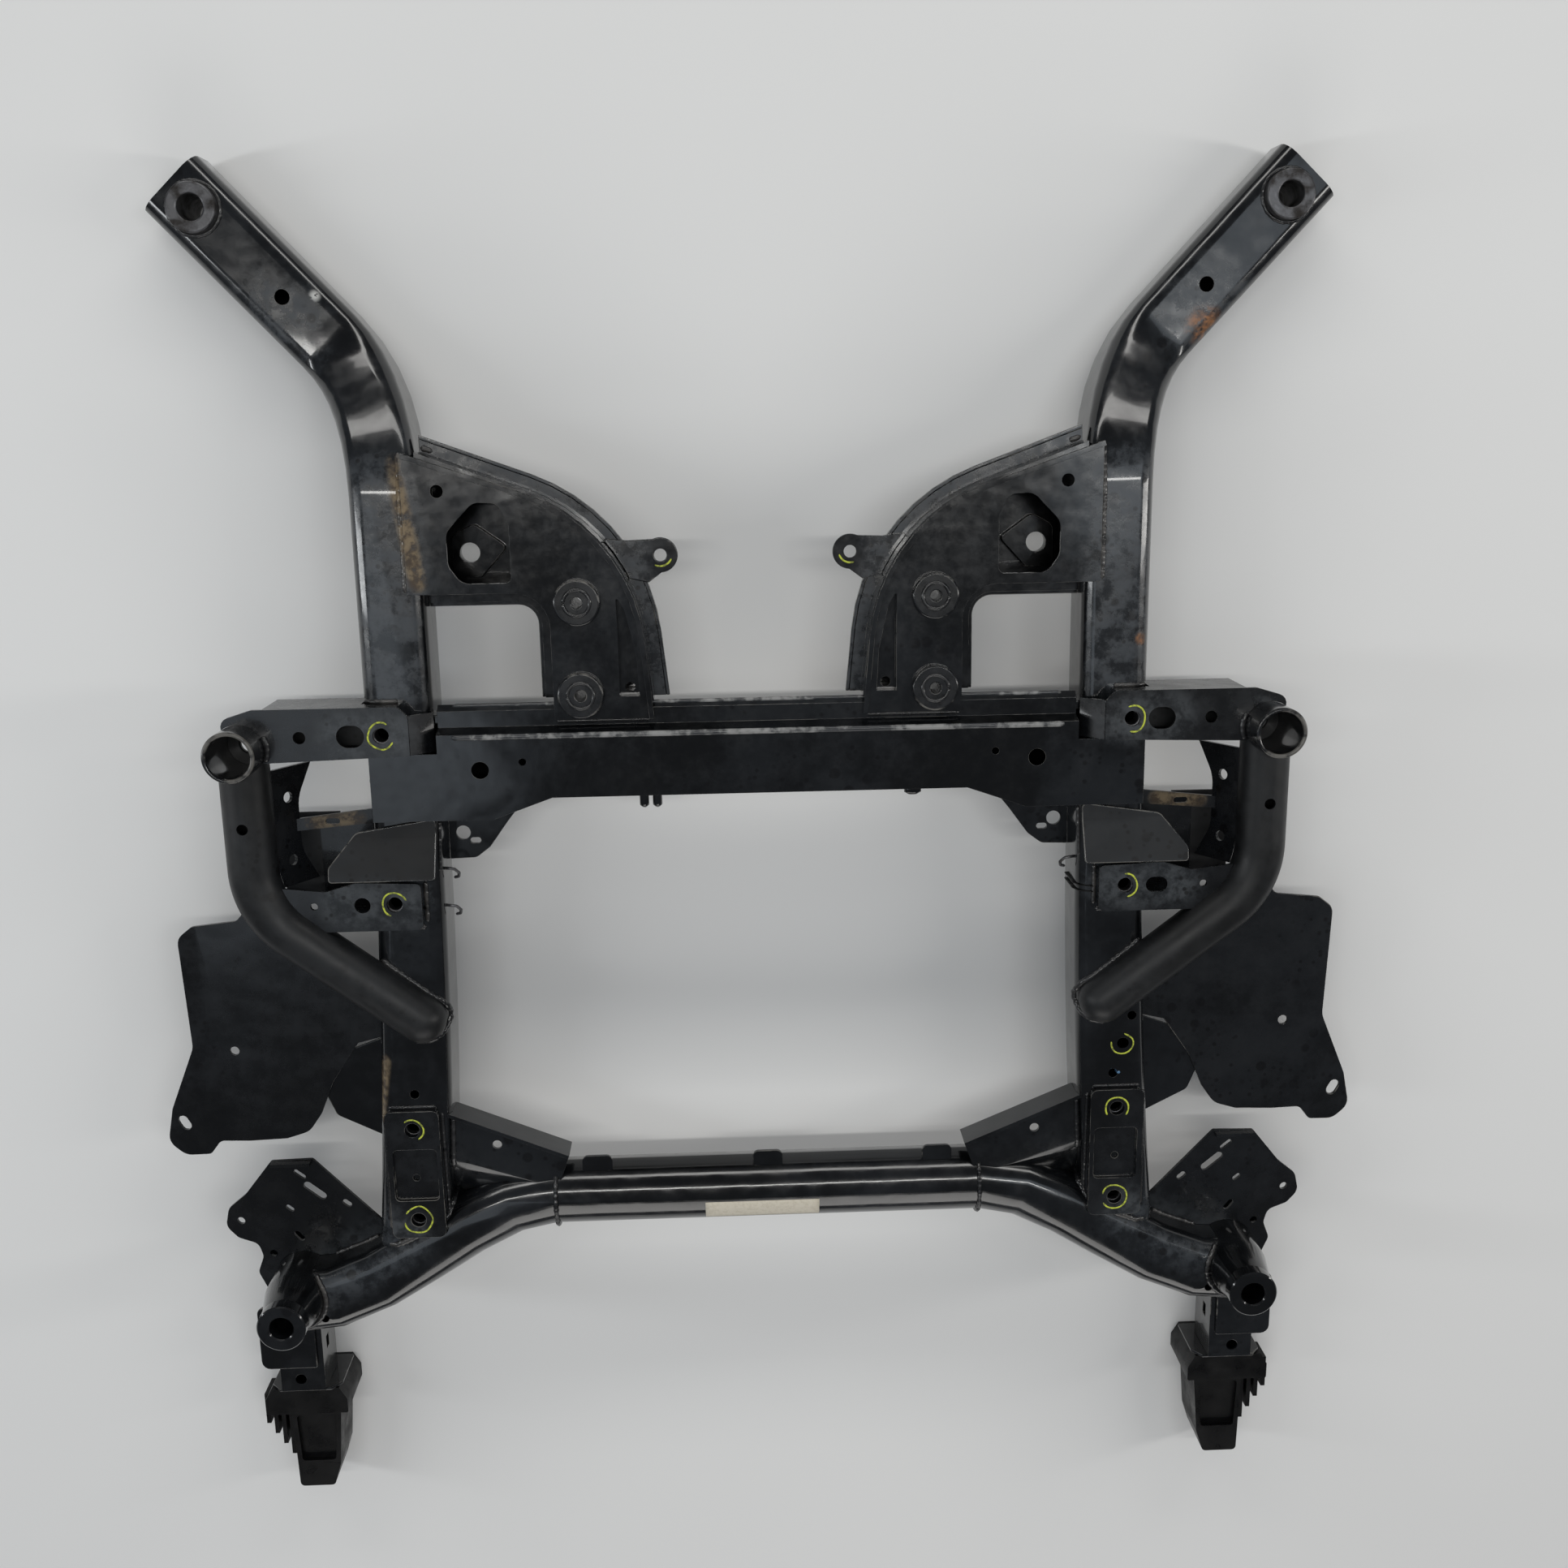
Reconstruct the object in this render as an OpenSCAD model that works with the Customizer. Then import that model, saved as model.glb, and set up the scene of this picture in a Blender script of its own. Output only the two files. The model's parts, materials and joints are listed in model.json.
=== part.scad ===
// Front subframe of a car, lying flat as it is bolted under the body, body side up.
// +Y points to the rear of the car, where the two arms end; the crush feet are at -Y.
// The side at +X is drawn, and the other side is its mirror image.

/* [Side rails] */
// Distance from the middle to a rail's centre line at the crossmember
rail_x = 290; // [284:1:296]
// Width of a rail at the crossmember
rail_w = 55; // [50:1:60]
// Width of a rail at its front end
rail_front_w = 62; // [58:1:66]
// Height of a rail's section
rail_h = 62; // [56:1:66]
// Height of the top of the rails above the ground
rail_top = 112; // [106:1:118]
// How far a rail's front end stands further out than its rear end
rail_flare = 18; // [8:1:24]
// Corner radius of the rails and arms
rail_round = 13; // [8:1:16]

/* [Rear arms] */
// Sideways distance of the rear body mounts from the middle
rear_x = 432; // [420:1:450]
// Distance of the rear body mounts behind the origin
rear_y = 550; // [535:1:570]
// Angle that the arms spread outwards
arm_angle = 43; // [39:1:46]
// Length of an arm past its mount
arm_over = 27; // [24:1:36]
// Width of an arm at its end
arm_w = 60; // [54:1:66]
// Height of an arm at its end
arm_h = 50; // [44:1:54]
// Radius of the bend between an arm and its rail
arm_bend = 178; // [150:1:200]
// Outer radius of a rear mount sleeve
rear_sleeve_r = 16; // [14:0.5:18]
// Radius of the flange on a rear mount sleeve
rear_flange_r = 19.5; // [19:0.5:23]
// Bore radius of a rear mount sleeve
rear_bore_r = 10; // [8:0.5:11]
// Height of a rear mount sleeve above its arm
rear_proud = 9; // [6:0.5:14]

/* [Middle mounts and legs] */
// Sideways distance of the middle body mounts from the middle
mid_x = 412; // [406:1:420]
// Distance of the middle body mounts behind the origin
mid_y = 134; // [130:1:140]
// Outer radius of a middle mount sleeve
mid_sleeve_r = 20.5; // [20:0.25:22]
// Bore radius of a middle mount sleeve
mid_bore_r = 17; // [14:0.5:18]
// Height of a middle mount sleeve's top
mid_top = 160; // [150:1:175]
// Radius of a leg tube
leg_r = 20; // [18:0.5:20]
// Height of a leg tube's centre line at its mount
leg_z = 121; // [117:1:126]
// Bend radius of a leg tube
leg_bend = 72; // [60:1:85]
// Where the bend of a leg tube turns, measured from the origin
leg_corner_y = 0; // [-6:1:6]

/* [Front mounts and tube] */
// Sideways distance of the front body mounts from the middle
front_x = 412; // [404:1:420]
// Distance of the front body mounts from the origin
front_y = -354; // [-360:1:-348]
// Outer radius of a front mount sleeve
front_sleeve_r = 18; // [16:0.5:19]
// Radius of the collar on a front mount sleeve
front_collar_r = 20.5; // [20:0.5:23]
// Bore radius of a front mount sleeve
front_bore_r = 10; // [8:0.5:12]
// Radius of the boss that carries a front mount sleeve
front_boss_r = 26; // [24:0.5:27]
// Height of a front mount sleeve's top
front_top = 165; // [150:1:180]
// Diameter of the front cross tube
tube_d = 56; // [50:1:60]
// Distance of the tube's straight middle from the origin
tube_y = -276; // [-282:1:-270]
// Height of the centre line of the tube's straight middle
tube_z = 84; // [80:1:90]
// Half length of the tube's straight middle
tube_straight = 185; // [175:1:195]
// How far the horns rise above the tube's middle
horn_rise = 10; // [6:1:14]
// Length of a horn past its mount
horn_over = 6; // [2:1:12]

/* [Crossmember and corner panels] */
// Distance of the crossmember's front wall from the origin
cross_front = 88; // [84:1:92]
// Distance of the crossmember's raised top's rear edge from the origin
cross_ridge = 139; // [132:1:142]
// Distance of the crossmember's rear flange's edge from the origin
cross_rear = 164; // [160:1:168]
// How far the crossmember's ends swell forward
cross_swell = 17; // [10:1:20]
// Sideways distance of the start of that swelling from the middle
cross_swell_x = 168; // [150:1:180]
// Height of the crossmember's raised top above the rails
cross_rise = 12; // [8:1:16]
// Depth of the crossmember's box below the rails' tops
cross_depth = 50; // [40:1:54]
// Depth of the upper shell of a corner panel
panel_upper_d = 28; // [22:1:32]
// Depth of the lower shell of a corner panel
panel_lower_d = 26; // [20:1:28]
// Width of the flanges that join the two panel shells
panel_flange = 9; // [6:0.5:12]
// Width of a corner panel's inner leg beside its window
panel_leg = 80; // [74:1:86]
// Distance from the middle to the inner edge of a corner panel
panel_in = 84; // [80:1:90]
// Sideways distance of the panel collars from the middle
collar_x = 142; // [138:1:146]
// Distance of the front panel collar from the origin
collar_y = 170; // [168:1:174]
// Distance between the two collars of a panel
collar_pitch = 74; // [70:1:80]
// Radius of a panel collar
collar_r = 18.5; // [14:0.5:20]
// Bore radius of a panel collar
collar_bore_r = 4.5; // [3.5:0.25:6]
// Distance of the edge behind a corner panel's window from the origin
window_y = 252; // [244:1:256]
// Distance of a corner panel's rear corner from the origin
panel_rear = 362; // [356:1:368]
// Height of a panel collar above its panel
collar_h = 6; // [4:0.5:10]

/* [Brackets] */
// Height of the upper bracket plates above the rails
upper_rise = 18; // [15:1:24]
// Height of the lower bracket plates above the rails
lower_rise = 13; // [11:1:16]
// Sideways distance of the bracket nuts from the middle
nut_x = 300; // [297:1:304]
// Distance of the upper bracket nuts from the origin
upper_nut_y = 143; // [141:1:146]
// Distance of the lower bracket nuts from the origin
lower_nut_y = 2; // [-2:1:6]
// Bore radius of the weld nuts
nut_bore_r = 5.5; // [4.5:0.25:6]
// Outer radius of the weld nuts
nut_r = 9.5; // [9:0.25:10]
// Distance of the front roll-bar nut behind the centre line of its horn
seat_behind = 39.5; // [38:0.5:44]
// Distance between the two roll-bar nuts of a rail
seat_pitch = 83; // [76:1:88]
// Height of the roll-bar seats above the rails
seat_rise = 6; // [5:0.5:9]
// Sheet thickness of pressings and tubes
sheet = 3; // [2.5:0.25:3.5]
// Clearance between pieces that are welded together
weld_gap = 0.2; // [0.1:0.05:0.4]

/* [Wings and feet] */
// Height of a wing's flat
wing_z = 72; // [66:1:78]
// Sideways distance of a wing's fold from the middle
wing_fold_x = 466; // [456:1:476]
// Distance of the middle of a wing's fold from the origin
wing_y = -130; // [-136:1:-124]
// Drop of a wing's outer edge below its flat
wing_drop = 12; // [4:1:20]
// Length of a wing's outer flap
wing_flap = 60; // [54:1:66]
// Height of the splash-shield brackets
shield_z = 80; // [76:1:90]
// Distance of the foot's flange plate from the origin
flange_y = -478; // [-486:1:-470]
// Length of a crush foot
foot_len = 109; // [90:1:120]
// Height of a crush foot's box
foot_h = 48; // [40:1:54]
// Width of a crush foot's box
foot_w = 46; // [42:1:52]
// Length of the wide head of a crush foot
head_len = 26; // [20:1:32]
// Height of that head
head_h = 58; // [54:1:62]

/* [Hidden] */
LEFT = -1;
RIGHT = 1;
SIDES = [LEFT, RIGHT];
$fn = 48;

ecoat = [0.16, 0.165, 0.18];
ecoat_worn = [0.3, 0.31, 0.33];
bare_steel = [0.45, 0.45, 0.46];
black_plastic = [0.07, 0.07, 0.075];
loft_steps = 4;
tube_steps = 5;
cut = 1;
rail_z = rail_top - rail_h / 2;
rail_in = rail_x - rail_w / 2;
rail_out = rail_x + rail_w / 2;
on_rail = rail_top + weld_gap;
arm_dir = [sin(arm_angle), cos(arm_angle)];
arm_end_y = (cross_front + cross_rear) / 2;
bend_run = arm_bend * tan(arm_angle / 2);
bend_y = rear_y - (rear_x - rail_x) / tan(arm_angle) - bend_run;
bend_steps = 7;
leg_dir = [-0.768, -0.6, -0.224];
tube_r = tube_d / 2;
horn_reach = tube_y - front_y + tube_r - front_sleeve_r - sheet + 1;
horn_end = front_x + horn_over;
horn_bend_end = front_x - 7;
horn_steps = 6;
horn_corner = 15;
seat_y = horn_station(rail_x + rail_flare * 0.6)[0].y + seat_behind + seat_pitch;
rail_front_y = front_y + tube_r + 10;
plate_top = on_rail + sheet;
panel_split = plate_top - panel_upper_d;
upper_z = rail_top + upper_rise;
lower_z = rail_top + lower_rise;
seat_z = on_rail + seat_rise;
stem_r = collar_bore_r + 4;
channel_d = 9;
panel_steps = 9;
hem = 3;
port = [rail_in - 46, panel_rear - 71];
column_w = 40;
column_x = front_x + 16;
column_top = tube_z + horn_rise - tube_r - weld_gap;
column_h = 44;
foot_x = column_x - 4;
foot_y = flange_y - sheet - weld_gap;

// Vector of length one along v
function unit(v) = v / norm(v);

// A plane vector turned left
function left_of(v) = [-v.y, v.x];

// Smooth change from 0 to 1
function ease(s) = s * s * (3 - 2 * s);

// Arc points that round the corner b, which carries its radius, between a and c
function arc_corner(a, b, c, steps) =
    let (p = [b.x, b.y], u = unit([a.x, a.y] - p), v = unit([c.x, c.y] - p), half = acos(u * v) / 2)
    b[2] == 0 || half > 89 ? [p] :
    let (mid = p + unit(u + v) * b[2] / sin(half))
    let (from = p + u * b[2] / tan(half) - mid, to = p + v * b[2] / tan(half) - mid)
    let (turn = atan2(cross(from, to), from * to))
    [for (i = [0:steps]) let (a = turn * i / steps) mid + from * cos(a) + left_of(from) * sin(a)];

// Outline whose points [x, y, corner radius] become arcs
function rounded(pts, steps = 4) =
    let (n = len(pts))
    [for (i = [0:n - 1]) each arc_corner(pts[(i + n - 1) % n], pts[i], pts[(i + 1) % n], steps)];

// Anticlockwise outline moved inwards by d
function inset(pts, d) =
    let (n = len(pts))
    [for (i = [0:n - 1])
        let (a = pts[(i + n - 1) % n], b = pts[i], c = pts[(i + 1) % n])
        let (u = unit([b.x - a.x, b.y - a.y]), v = unit([c.x - b.x, c.y - b.y]))
        let (m = (left_of(u) + left_of(v)) / (1 + u * v) * d)
        [b.x + m.x, b.y + m.y, b[2] == 0 ? 0 : max(0.4, b[2] + (cross(u, v) > 0 ? -d : d))]];

// Sideways step of a folded sheet at point i of its path
function miter(path, i) =
    let (n = len(path), u = unit(path[max(i, 1)] - path[max(i, 1) - 1]))
    let (v = unit(path[min(i, n - 2) + 1] - path[min(i, n - 2)]))
    (left_of(u) + left_of(v)) / (1 + u * v);

// Section of a folded sheet that lies on the left of its path
function strip(path, t) =
    let (n = len(path))
    concat(path, [for (i = [n - 1:-1:0]) path[i] + t * miter(path, i)]);

// Points of a rounded rectangle, anticlockwise
function section(w, h, r, steps) =
    [for (k = [0:3]) for (i = [0:steps])
        let (a = 90 * (k + i / steps), sx = k == 0 || k == 3 ? 1 : -1, sy = k < 2 ? 1 : -1)
        [sx * (w / 2 - r) + r * cos(a), sy * (h / 2 - r) + r * sin(a)]];

// Ring of points at station k of a path of [centre, width, height, corner radius], moved in by t
function ring(path, k, t, steps) =
    let (s = path[k], along = unit(path[min(k + 1, len(path) - 1)][0] - path[max(k - 1, 0)][0]))
    let (side = unit(cross([0, 0, 1], along)), up = cross(along, side))
    [for (p = section(s[1] - 2 * t, s[2] - 2 * t, s[3] - t, steps)) s[0] + side * p.x + up * p.y];

// Triangles between the rings of a skin whose points start at index base
function skin(n, m, base, inward) =
    [for (k = [0:n - 2]) for (i = [0:m - 1])
        let (a = base + k * m + i, b = base + k * m + (i + 1) % m, c = b + m, d = a + m)
        each inward ? [[a, c, d], [a, b, c]] : [[a, d, c], [a, c, b]]];

// Triangles that close the wall between an outer and an inner ring
function rim(m, outer, inner, at_end) =
    [for (i = [0:m - 1])
        let (a = outer + i, b = outer + (i + 1) % m, c = inner + (i + 1) % m, d = inner + i)
        each at_end ? [[a, c, b], [a, d, c]] : [[a, b, c], [a, c, d]]];

// Hollow member with a wall of t along a path of stations
module hollow_member(path, t, steps) {
    n = len(path);
    m = 4 * (steps + 1);
    outer = [for (k = [0:n - 1]) each ring(path, k, 0, steps)];
    inner = [for (k = [0:n - 1]) each ring(path, k, t, steps)];
    polyhedron(concat(outer, inner),
        concat(skin(n, m, 0, false), skin(n, m, n * m, true),
            rim(m, 0, n * m, false), rim(m, (n - 1) * m, (2 * n - 1) * m, true)));
}

// The same member filled and grown by the weld clearance, to trim what is welded to it
module filled_member(path, steps) {
    n = len(path);
    m = 4 * (steps + 1);
    polyhedron([for (k = [0:n - 1]) each ring(path, k, -weld_gap, steps)],
        concat(skin(n, m, 0, false), [[for (i = [0:m - 1]) i]],
            [[for (i = [m - 1:-1:0]) (n - 1) * m + i]]));
}

// Round bar from a through a bend at b to c
module bent_bar(a, b, c, bend, r) {
    d1 = unit(b - a);
    d2 = unit(c - b);
    turn = acos(d1 * d2);
    run = bend * tan(turn / 2);
    n = unit(cross(d1, d2));
    x = cross(d1, n);
    y = cross(n, x);
    o = b - d1 * run - x * bend;
    straight_bar(a, b - d1 * run, r);
    straight_bar(b + d2 * run, c, r);
    multmatrix([[x.x, y.x, n.x, o.x], [x.y, y.y, n.y, o.y], [x.z, y.z, n.z, o.z], [0, 0, 0, 1]])
        rotate_extrude(angle = turn) translate([bend, 0]) circle(r);
}

// Round bar from a to b
module straight_bar(a, b, r) {
    d = b - a;
    translate(a) rotate([0, acos(d.z / norm(d)), atan2(d.y, d.x)]) cylinder(h = norm(d), r = r);
}

// Drawn side or its mirror image
module sided(side) {
    if (side == RIGHT) children();
    else mirror([1, 0, 0]) children();
}

// Flat sheet with its lower face at z
module plate(pts, z, t = sheet, steps = 4) {
    translate([0, 0, z]) linear_extrude(t) polygon(rounded(pts, steps));
}

// Folded sheet: a section of [x, z] points that runs along Y from y0 to y1
module fold_y(pts, y0, y1) {
    translate([0, y1, 0]) rotate([90, 0, 0]) linear_extrude(y1 - y0) polygon(pts);
}

// Folded sheet: a section of [y, z] points that runs along X from x0 to x1
module fold_x(pts, x0, x1) {
    translate([x0, 0, 0]) rotate([90, 0, 90]) linear_extrude(x1 - x0) polygon(pts);
}

// Upright hole at a place
module hole(x, y, r, z0 = -cut, z1 = rail_top + 100) {
    translate([x, y, z0]) cylinder(h = z1 - z0, r = r);
}

// Slot with round ends, long along X before it is turned
module slot(x, y, l, w, turn = 0, z0 = -cut, z1 = rail_top + 100) {
    translate([x, y, z0]) rotate(turn) linear_extrude(z1 - z0) {
        square([l - w, w], center = true);
        for (end = [-1, 1])
            translate([end * (l - w) / 2, 0]) circle(w / 2);
    }
}

// Upright tube with a wider rim at its top
module sleeve(x, y, r, bore, rim_r, rim_h, z0, z1) {
    translate([x, y, 0]) rotate_extrude()
        polygon([[bore, z0], [r, z0], [r, z1 - rim_h], [rim_r, z1 - rim_h],
            [rim_r, z1 - 1], [rim_r - 1, z1], [bore + 1, z1], [bore, z1 - 1]]);
}

// Stations of a rear arm, from its end to the crossmember
function arm_path() =
    let (tip = [rear_x, rear_y] + arm_dir * arm_over)
    concat([[[tip.x, tip.y, arm_h / 2], arm_w, arm_h, rail_round]],
        [for (k = [0:bend_steps])
            let (s = k / bend_steps, a = arm_angle * (1 - s), f = ease(s))
            [[rail_x + arm_bend * (1 - cos(a)), bend_y + arm_bend * sin(a),
                arm_h / 2 + (rail_z - arm_h / 2) * f],
                arm_w + (rail_w - arm_w) * f, arm_h + (rail_h - arm_h) * f, rail_round]],
        [[[rail_x, arm_end_y + weld_gap, rail_z], rail_w, rail_h, rail_round]]);

// Share of a rail's length that lies behind y
function rail_share(y) = (arm_end_y - y) / (arm_end_y - rail_front_y);

// Distance of a rail's centre line from the middle, and its width, at y
function rail_at(y) = rail_x + rail_flare * pow(max(rail_share(y), 0), 2);
function rail_width(y) = rail_w + (rail_front_w - rail_w) * max(rail_share(y), 0);

// Stations of a front rail
function rail_path() =
    [for (k = [0:6])
        let (y = arm_end_y - weld_gap - (arm_end_y - rail_front_y) * k / 6)
        [[rail_at(y), y, rail_z], rail_width(y), rail_h, rail_round]];

// Stations of the front tube: straight in the middle, with a horn to each side
function horn_station(x) =
    let (s = max(0, abs(x) - tube_straight) / (horn_bend_end - tube_straight), f = ease(min(s, 1)))
    [[x, tube_y - horn_reach * f, tube_z + horn_rise * f], tube_d, tube_d,
        tube_r - 0.2 - (tube_r - horn_corner) * f];
function horn_x(k) = tube_straight + (horn_end - tube_straight) * k / horn_steps;
function tube_path() =
    concat([for (k = [horn_steps:-1:0]) horn_station(-horn_x(k))],
        [for (k = [0:horn_steps]) horn_station(horn_x(k))]);

module rail_solid() filled_member(rail_path(), loft_steps);
module tube_solid()
    filled_member(concat([horn_station(tube_straight / 2)],
        [for (k = [0:horn_steps]) horn_station(horn_x(k) + (k < horn_steps ? 0 : weld_gap))]), tube_steps);

// Bends of a leg tube: its mount, the corner and its end in the rail
function leg_points() =
    let (corner = [mid_x, leg_corner_y, leg_z])
    [[mid_x, mid_y, leg_z], corner, corner + leg_dir * ceil((mid_x - rail_x - 8) / -leg_dir.x)];
function leg_path() =
    let (p = leg_points(), ahead = unit(p[1] - p[0]), turn = acos(ahead * leg_dir))
    let (aside = unit(leg_dir - ahead * (ahead * leg_dir)), from = p[1] - ahead * leg_bend * tan(turn / 2))
    let (bend = [for (k = [0:bend_steps])
        let (a = turn * k / bend_steps)
        from + (ahead * sin(a) + aside * (1 - cos(a))) * leg_bend])
    [for (c = concat([p[0]], bend, [p[2]])) [c, 2 * leg_r, 2 * leg_r, leg_r - 0.2]];

// Space of a leg tube, with the weld clearance round it
module leg_space() {
    p = leg_points();
    bent_bar(p[0], p[1], p[2], leg_bend, leg_r + weld_gap);
}

// Welded round pieces that others are cut back to
module mid_sleeve_space() hole(mid_x, mid_y, mid_sleeve_r + weld_gap);
module front_sleeve_space() hole(front_x, front_y, front_sleeve_r + weld_gap);

module rear_arm(side) {
    color(ecoat) sided(side) difference() {
        hollow_member(arm_path(), sheet, loft_steps);
        hole(rear_x, rear_y, rear_sleeve_r + weld_gap);
        hole(rear_x - 92 * arm_dir.x, rear_y - 92 * arm_dir.y, 6, arm_h / 2);
        hole(nut_x, upper_nut_y, nut_bore_r + 2, rail_z);
    }
}

module rear_sleeve(side) {
    color(bare_steel) sided(side)
        sleeve(rear_x, rear_y, rear_sleeve_r, rear_bore_r, rear_flange_r, rear_proud - weld_gap,
            0, arm_h + rear_proud);
}

// Outline of a corner panel: y0 is its front edge, and lap is how far it runs out over the rail
function panel_outline(y0, lap) = [
    [panel_in, y0, 0], [panel_in + panel_leg, y0, 0], [panel_in + panel_leg, window_y, 28],
    [rail_in + lap, window_y, 0], [rail_in + lap, panel_rear, 0], [panel_in + 14, panel_rear - 60, 140]];

// The long curved edge of such an outline, from its rear corner to its front edge
function panel_edge(pts) =
    let (rear = pts[4], front = pts[0])
    concat([[rear.x, rear.y]], arc_corner(rear, pts[5], front, panel_steps), [[front.x, front.y]]);

// Pressed half of a panel: its floor, walls and outer flange, with the floor upwards
module panel_shell(depth, flange) {
    pts = panel_outline(cross_rear + weld_gap, -weld_gap);
    difference() {
        union() {
            plate(pts, 0, depth, panel_steps);
            plate(inset(pts, -flange), 0, sheet, panel_steps);
        }
        plate(inset(pts, sheet), -cut, depth - sheet + cut, panel_steps);
        translate([rail_in - weld_gap, 0, -cut]) cube([rail_in, 2 * panel_rear, depth + 2 * cut]);
        translate([0, 0, -cut]) cube([rail_out, cross_rear + weld_gap, depth + 2 * cut]);
    }
}

module panel_upper(side) {
    top = panel_outline(cross_ridge + 11, 12);
    channel = [[panel_in + 8, cross_rear + cut, 0], [panel_in + 30, cross_rear + cut, 0],
        [panel_in + 30, window_y - 30, 30], [panel_in + 31, window_y + 8, 4],
        [panel_in + 18, window_y - 14, 20], [panel_in + 10, window_y - 50, 40]];
    channel_z = plate_top - channel_d;
    color(ecoat) sided(side) difference() {
        union() {
            translate([0, 0, panel_split]) panel_shell(panel_upper_d, panel_flange);
            plate(top, on_rail, sheet, panel_steps);
            plate(channel, channel_z - sheet, channel_d + cut);
            translate([0, 0, plate_top - cut]) linear_extrude(cut + 2) polygon(strip(panel_edge(top), 4));
        }
        plate(inset(channel, sheet), channel_z, 2 * channel_d);
        translate(port) plate([[-24, -31, 5], [15, -31, 12], [25, -17, 12], [25, 9, 12], [3, 32, 12],
            [-16, 31, 8], [-24, 15, 8]], panel_split + cut, panel_upper_d);
        hole(port.x + 30, port.y + 41, 5, panel_split + sheet);
        hole(panel_in + 19, cross_rear + 10, 4, panel_split + sheet);
        for (k = [0, 1])
            hole(collar_x, collar_y + k * collar_pitch, stem_r + weld_gap, panel_split);
    }
}

// Lower half of a panel, with a turned-up hem round the upper half and a pad under the octagonal port
module panel_lower(side) {
    floor_z = panel_split - panel_lower_d;
    wide = inset(panel_outline(cross_rear + weld_gap, -weld_gap), -panel_flange - hem);
    color(ecoat) sided(side) difference() {
        union() {
            translate([0, 0, panel_split - weld_gap]) mirror([0, 0, 1])
                panel_shell(panel_lower_d, panel_flange + hem);
            intersection() {
                translate([0, 0, panel_split - sheet]) linear_extrude(2 * sheet)
                    polygon(strip(panel_edge(wide), hem - weld_gap));
                translate([0, cross_rear + weld_gap, 0])
                    cube([rail_in - weld_gap, panel_rear, plate_top]);
            }
            translate(port) plate([[-16, -6, 4], [6, -30, 0], [28, -30, 0], [28, 4, 8], [10, 13, 6]],
                floor_z + sheet - weld_gap - cut, 7);
        }
        hole(port.x + 14, port.y - 10, 8);
        for (k = [0, 1]) {
            hole(collar_x, collar_y + k * collar_pitch, collar_bore_r + 1);
            hole(collar_x, collar_y + k * collar_pitch, stem_r + weld_gap, floor_z + sheet - weld_gap);
        }
    }
}

module mount_collars() {
    floor_z = panel_split - panel_lower_d + sheet;
    color(ecoat_worn) for (side = SIDES, k = [0, 1]) sided(side)
        translate([collar_x, collar_y + k * collar_pitch, 0]) difference() {
            union() {
                translate([0, 0, floor_z]) cylinder(h = plate_top - floor_z + 1, r = stem_r);
                translate([0, 0, plate_top + weld_gap]) cylinder(h = collar_h - 1, r = collar_r);
                translate([0, 0, plate_top + weld_gap + collar_h - 1])
                    cylinder(h = 1, r1 = collar_r, r2 = collar_r - 1);
            }
            cylinder(h = mid_top, r = collar_bore_r);
        }
}

// Drilled tab that lies on the panel's flange
module panel_ear(side) {
    ear = [panel_in - 8, panel_rear - 84];
    r = 14;
    z = panel_split + sheet + weld_gap;
    color(ecoat) sided(side) difference() {
        union() {
            translate([ear.x, ear.y, z]) cylinder(h = sheet, r = r);
            plate([[ear.x, ear.y + r - 1, 0], [ear.x - 2, ear.y - r + 1, 0], [ear.x + 10, ear.y - r - 8, 0],
                [ear.x + 44, ear.y - r, 0], [ear.x + 44, ear.y + r, 0], [ear.x + 26, ear.y + r - 2, 0]], z);
        }
        plate(inset(panel_outline(cross_rear, 0), -weld_gap), 0, rail_top, panel_steps);
        hole(ear.x, ear.y, 5);
    }
}

// Plan of the crossmember's front edge, which swells forward at both ends
function cross_edge(reach) =
    let (half = [[cross_swell_x, cross_front], [cross_swell_x + 48, cross_front - cross_swell],
        [reach, cross_front - cross_swell]])
    concat([for (k = [2:-1:0]) [-half[k].x, half[k].y]], half);

module crossmember_upper() {
    top = rail_top + cross_rise;
    reach = rail_out - 5;
    edge = cross_edge(reach);
    rear = [[cross_ridge - cut, top - sheet], [cross_ridge, top - sheet], [cross_ridge + 4, rail_top - sheet],
        [cross_rear - 2 * sheet - cut, rail_top - sheet], [cross_rear - sheet, rail_top - 2 * sheet - cut]];
    color(ecoat) difference() {
        union() {
            translate([0, 0, top - sheet]) linear_extrude(sheet)
                polygon(concat(edge, [[reach, cross_ridge], [-reach, cross_ridge]]));
            translate([0, 0, on_rail]) linear_extrude(top - on_rail - cut) polygon(strip(edge, sheet));
            fold_x(strip(rear, sheet), -reach, reach);
        }
        for (side = SIDES) sided(side) {
            translate([rail_x - 32, cross_ridge - 13, 0]) cube([reach, cross_rear, 2 * top]);
            translate([rail_in - weld_gap, 0, 0]) cube([reach, 2 * cross_rear, on_rail]);
            hole(collar_x, collar_y, stem_r + weld_gap);
            hole(rail_in - 38, cross_front + 24, 7, rail_top);
            hole(rail_in - 72, cross_front + 30, 3, rail_top);
        }
        translate([cross_swell_x - 25, cross_front - 5, 0]) cube([12, 12, top - 6]);
    }
}

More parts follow.
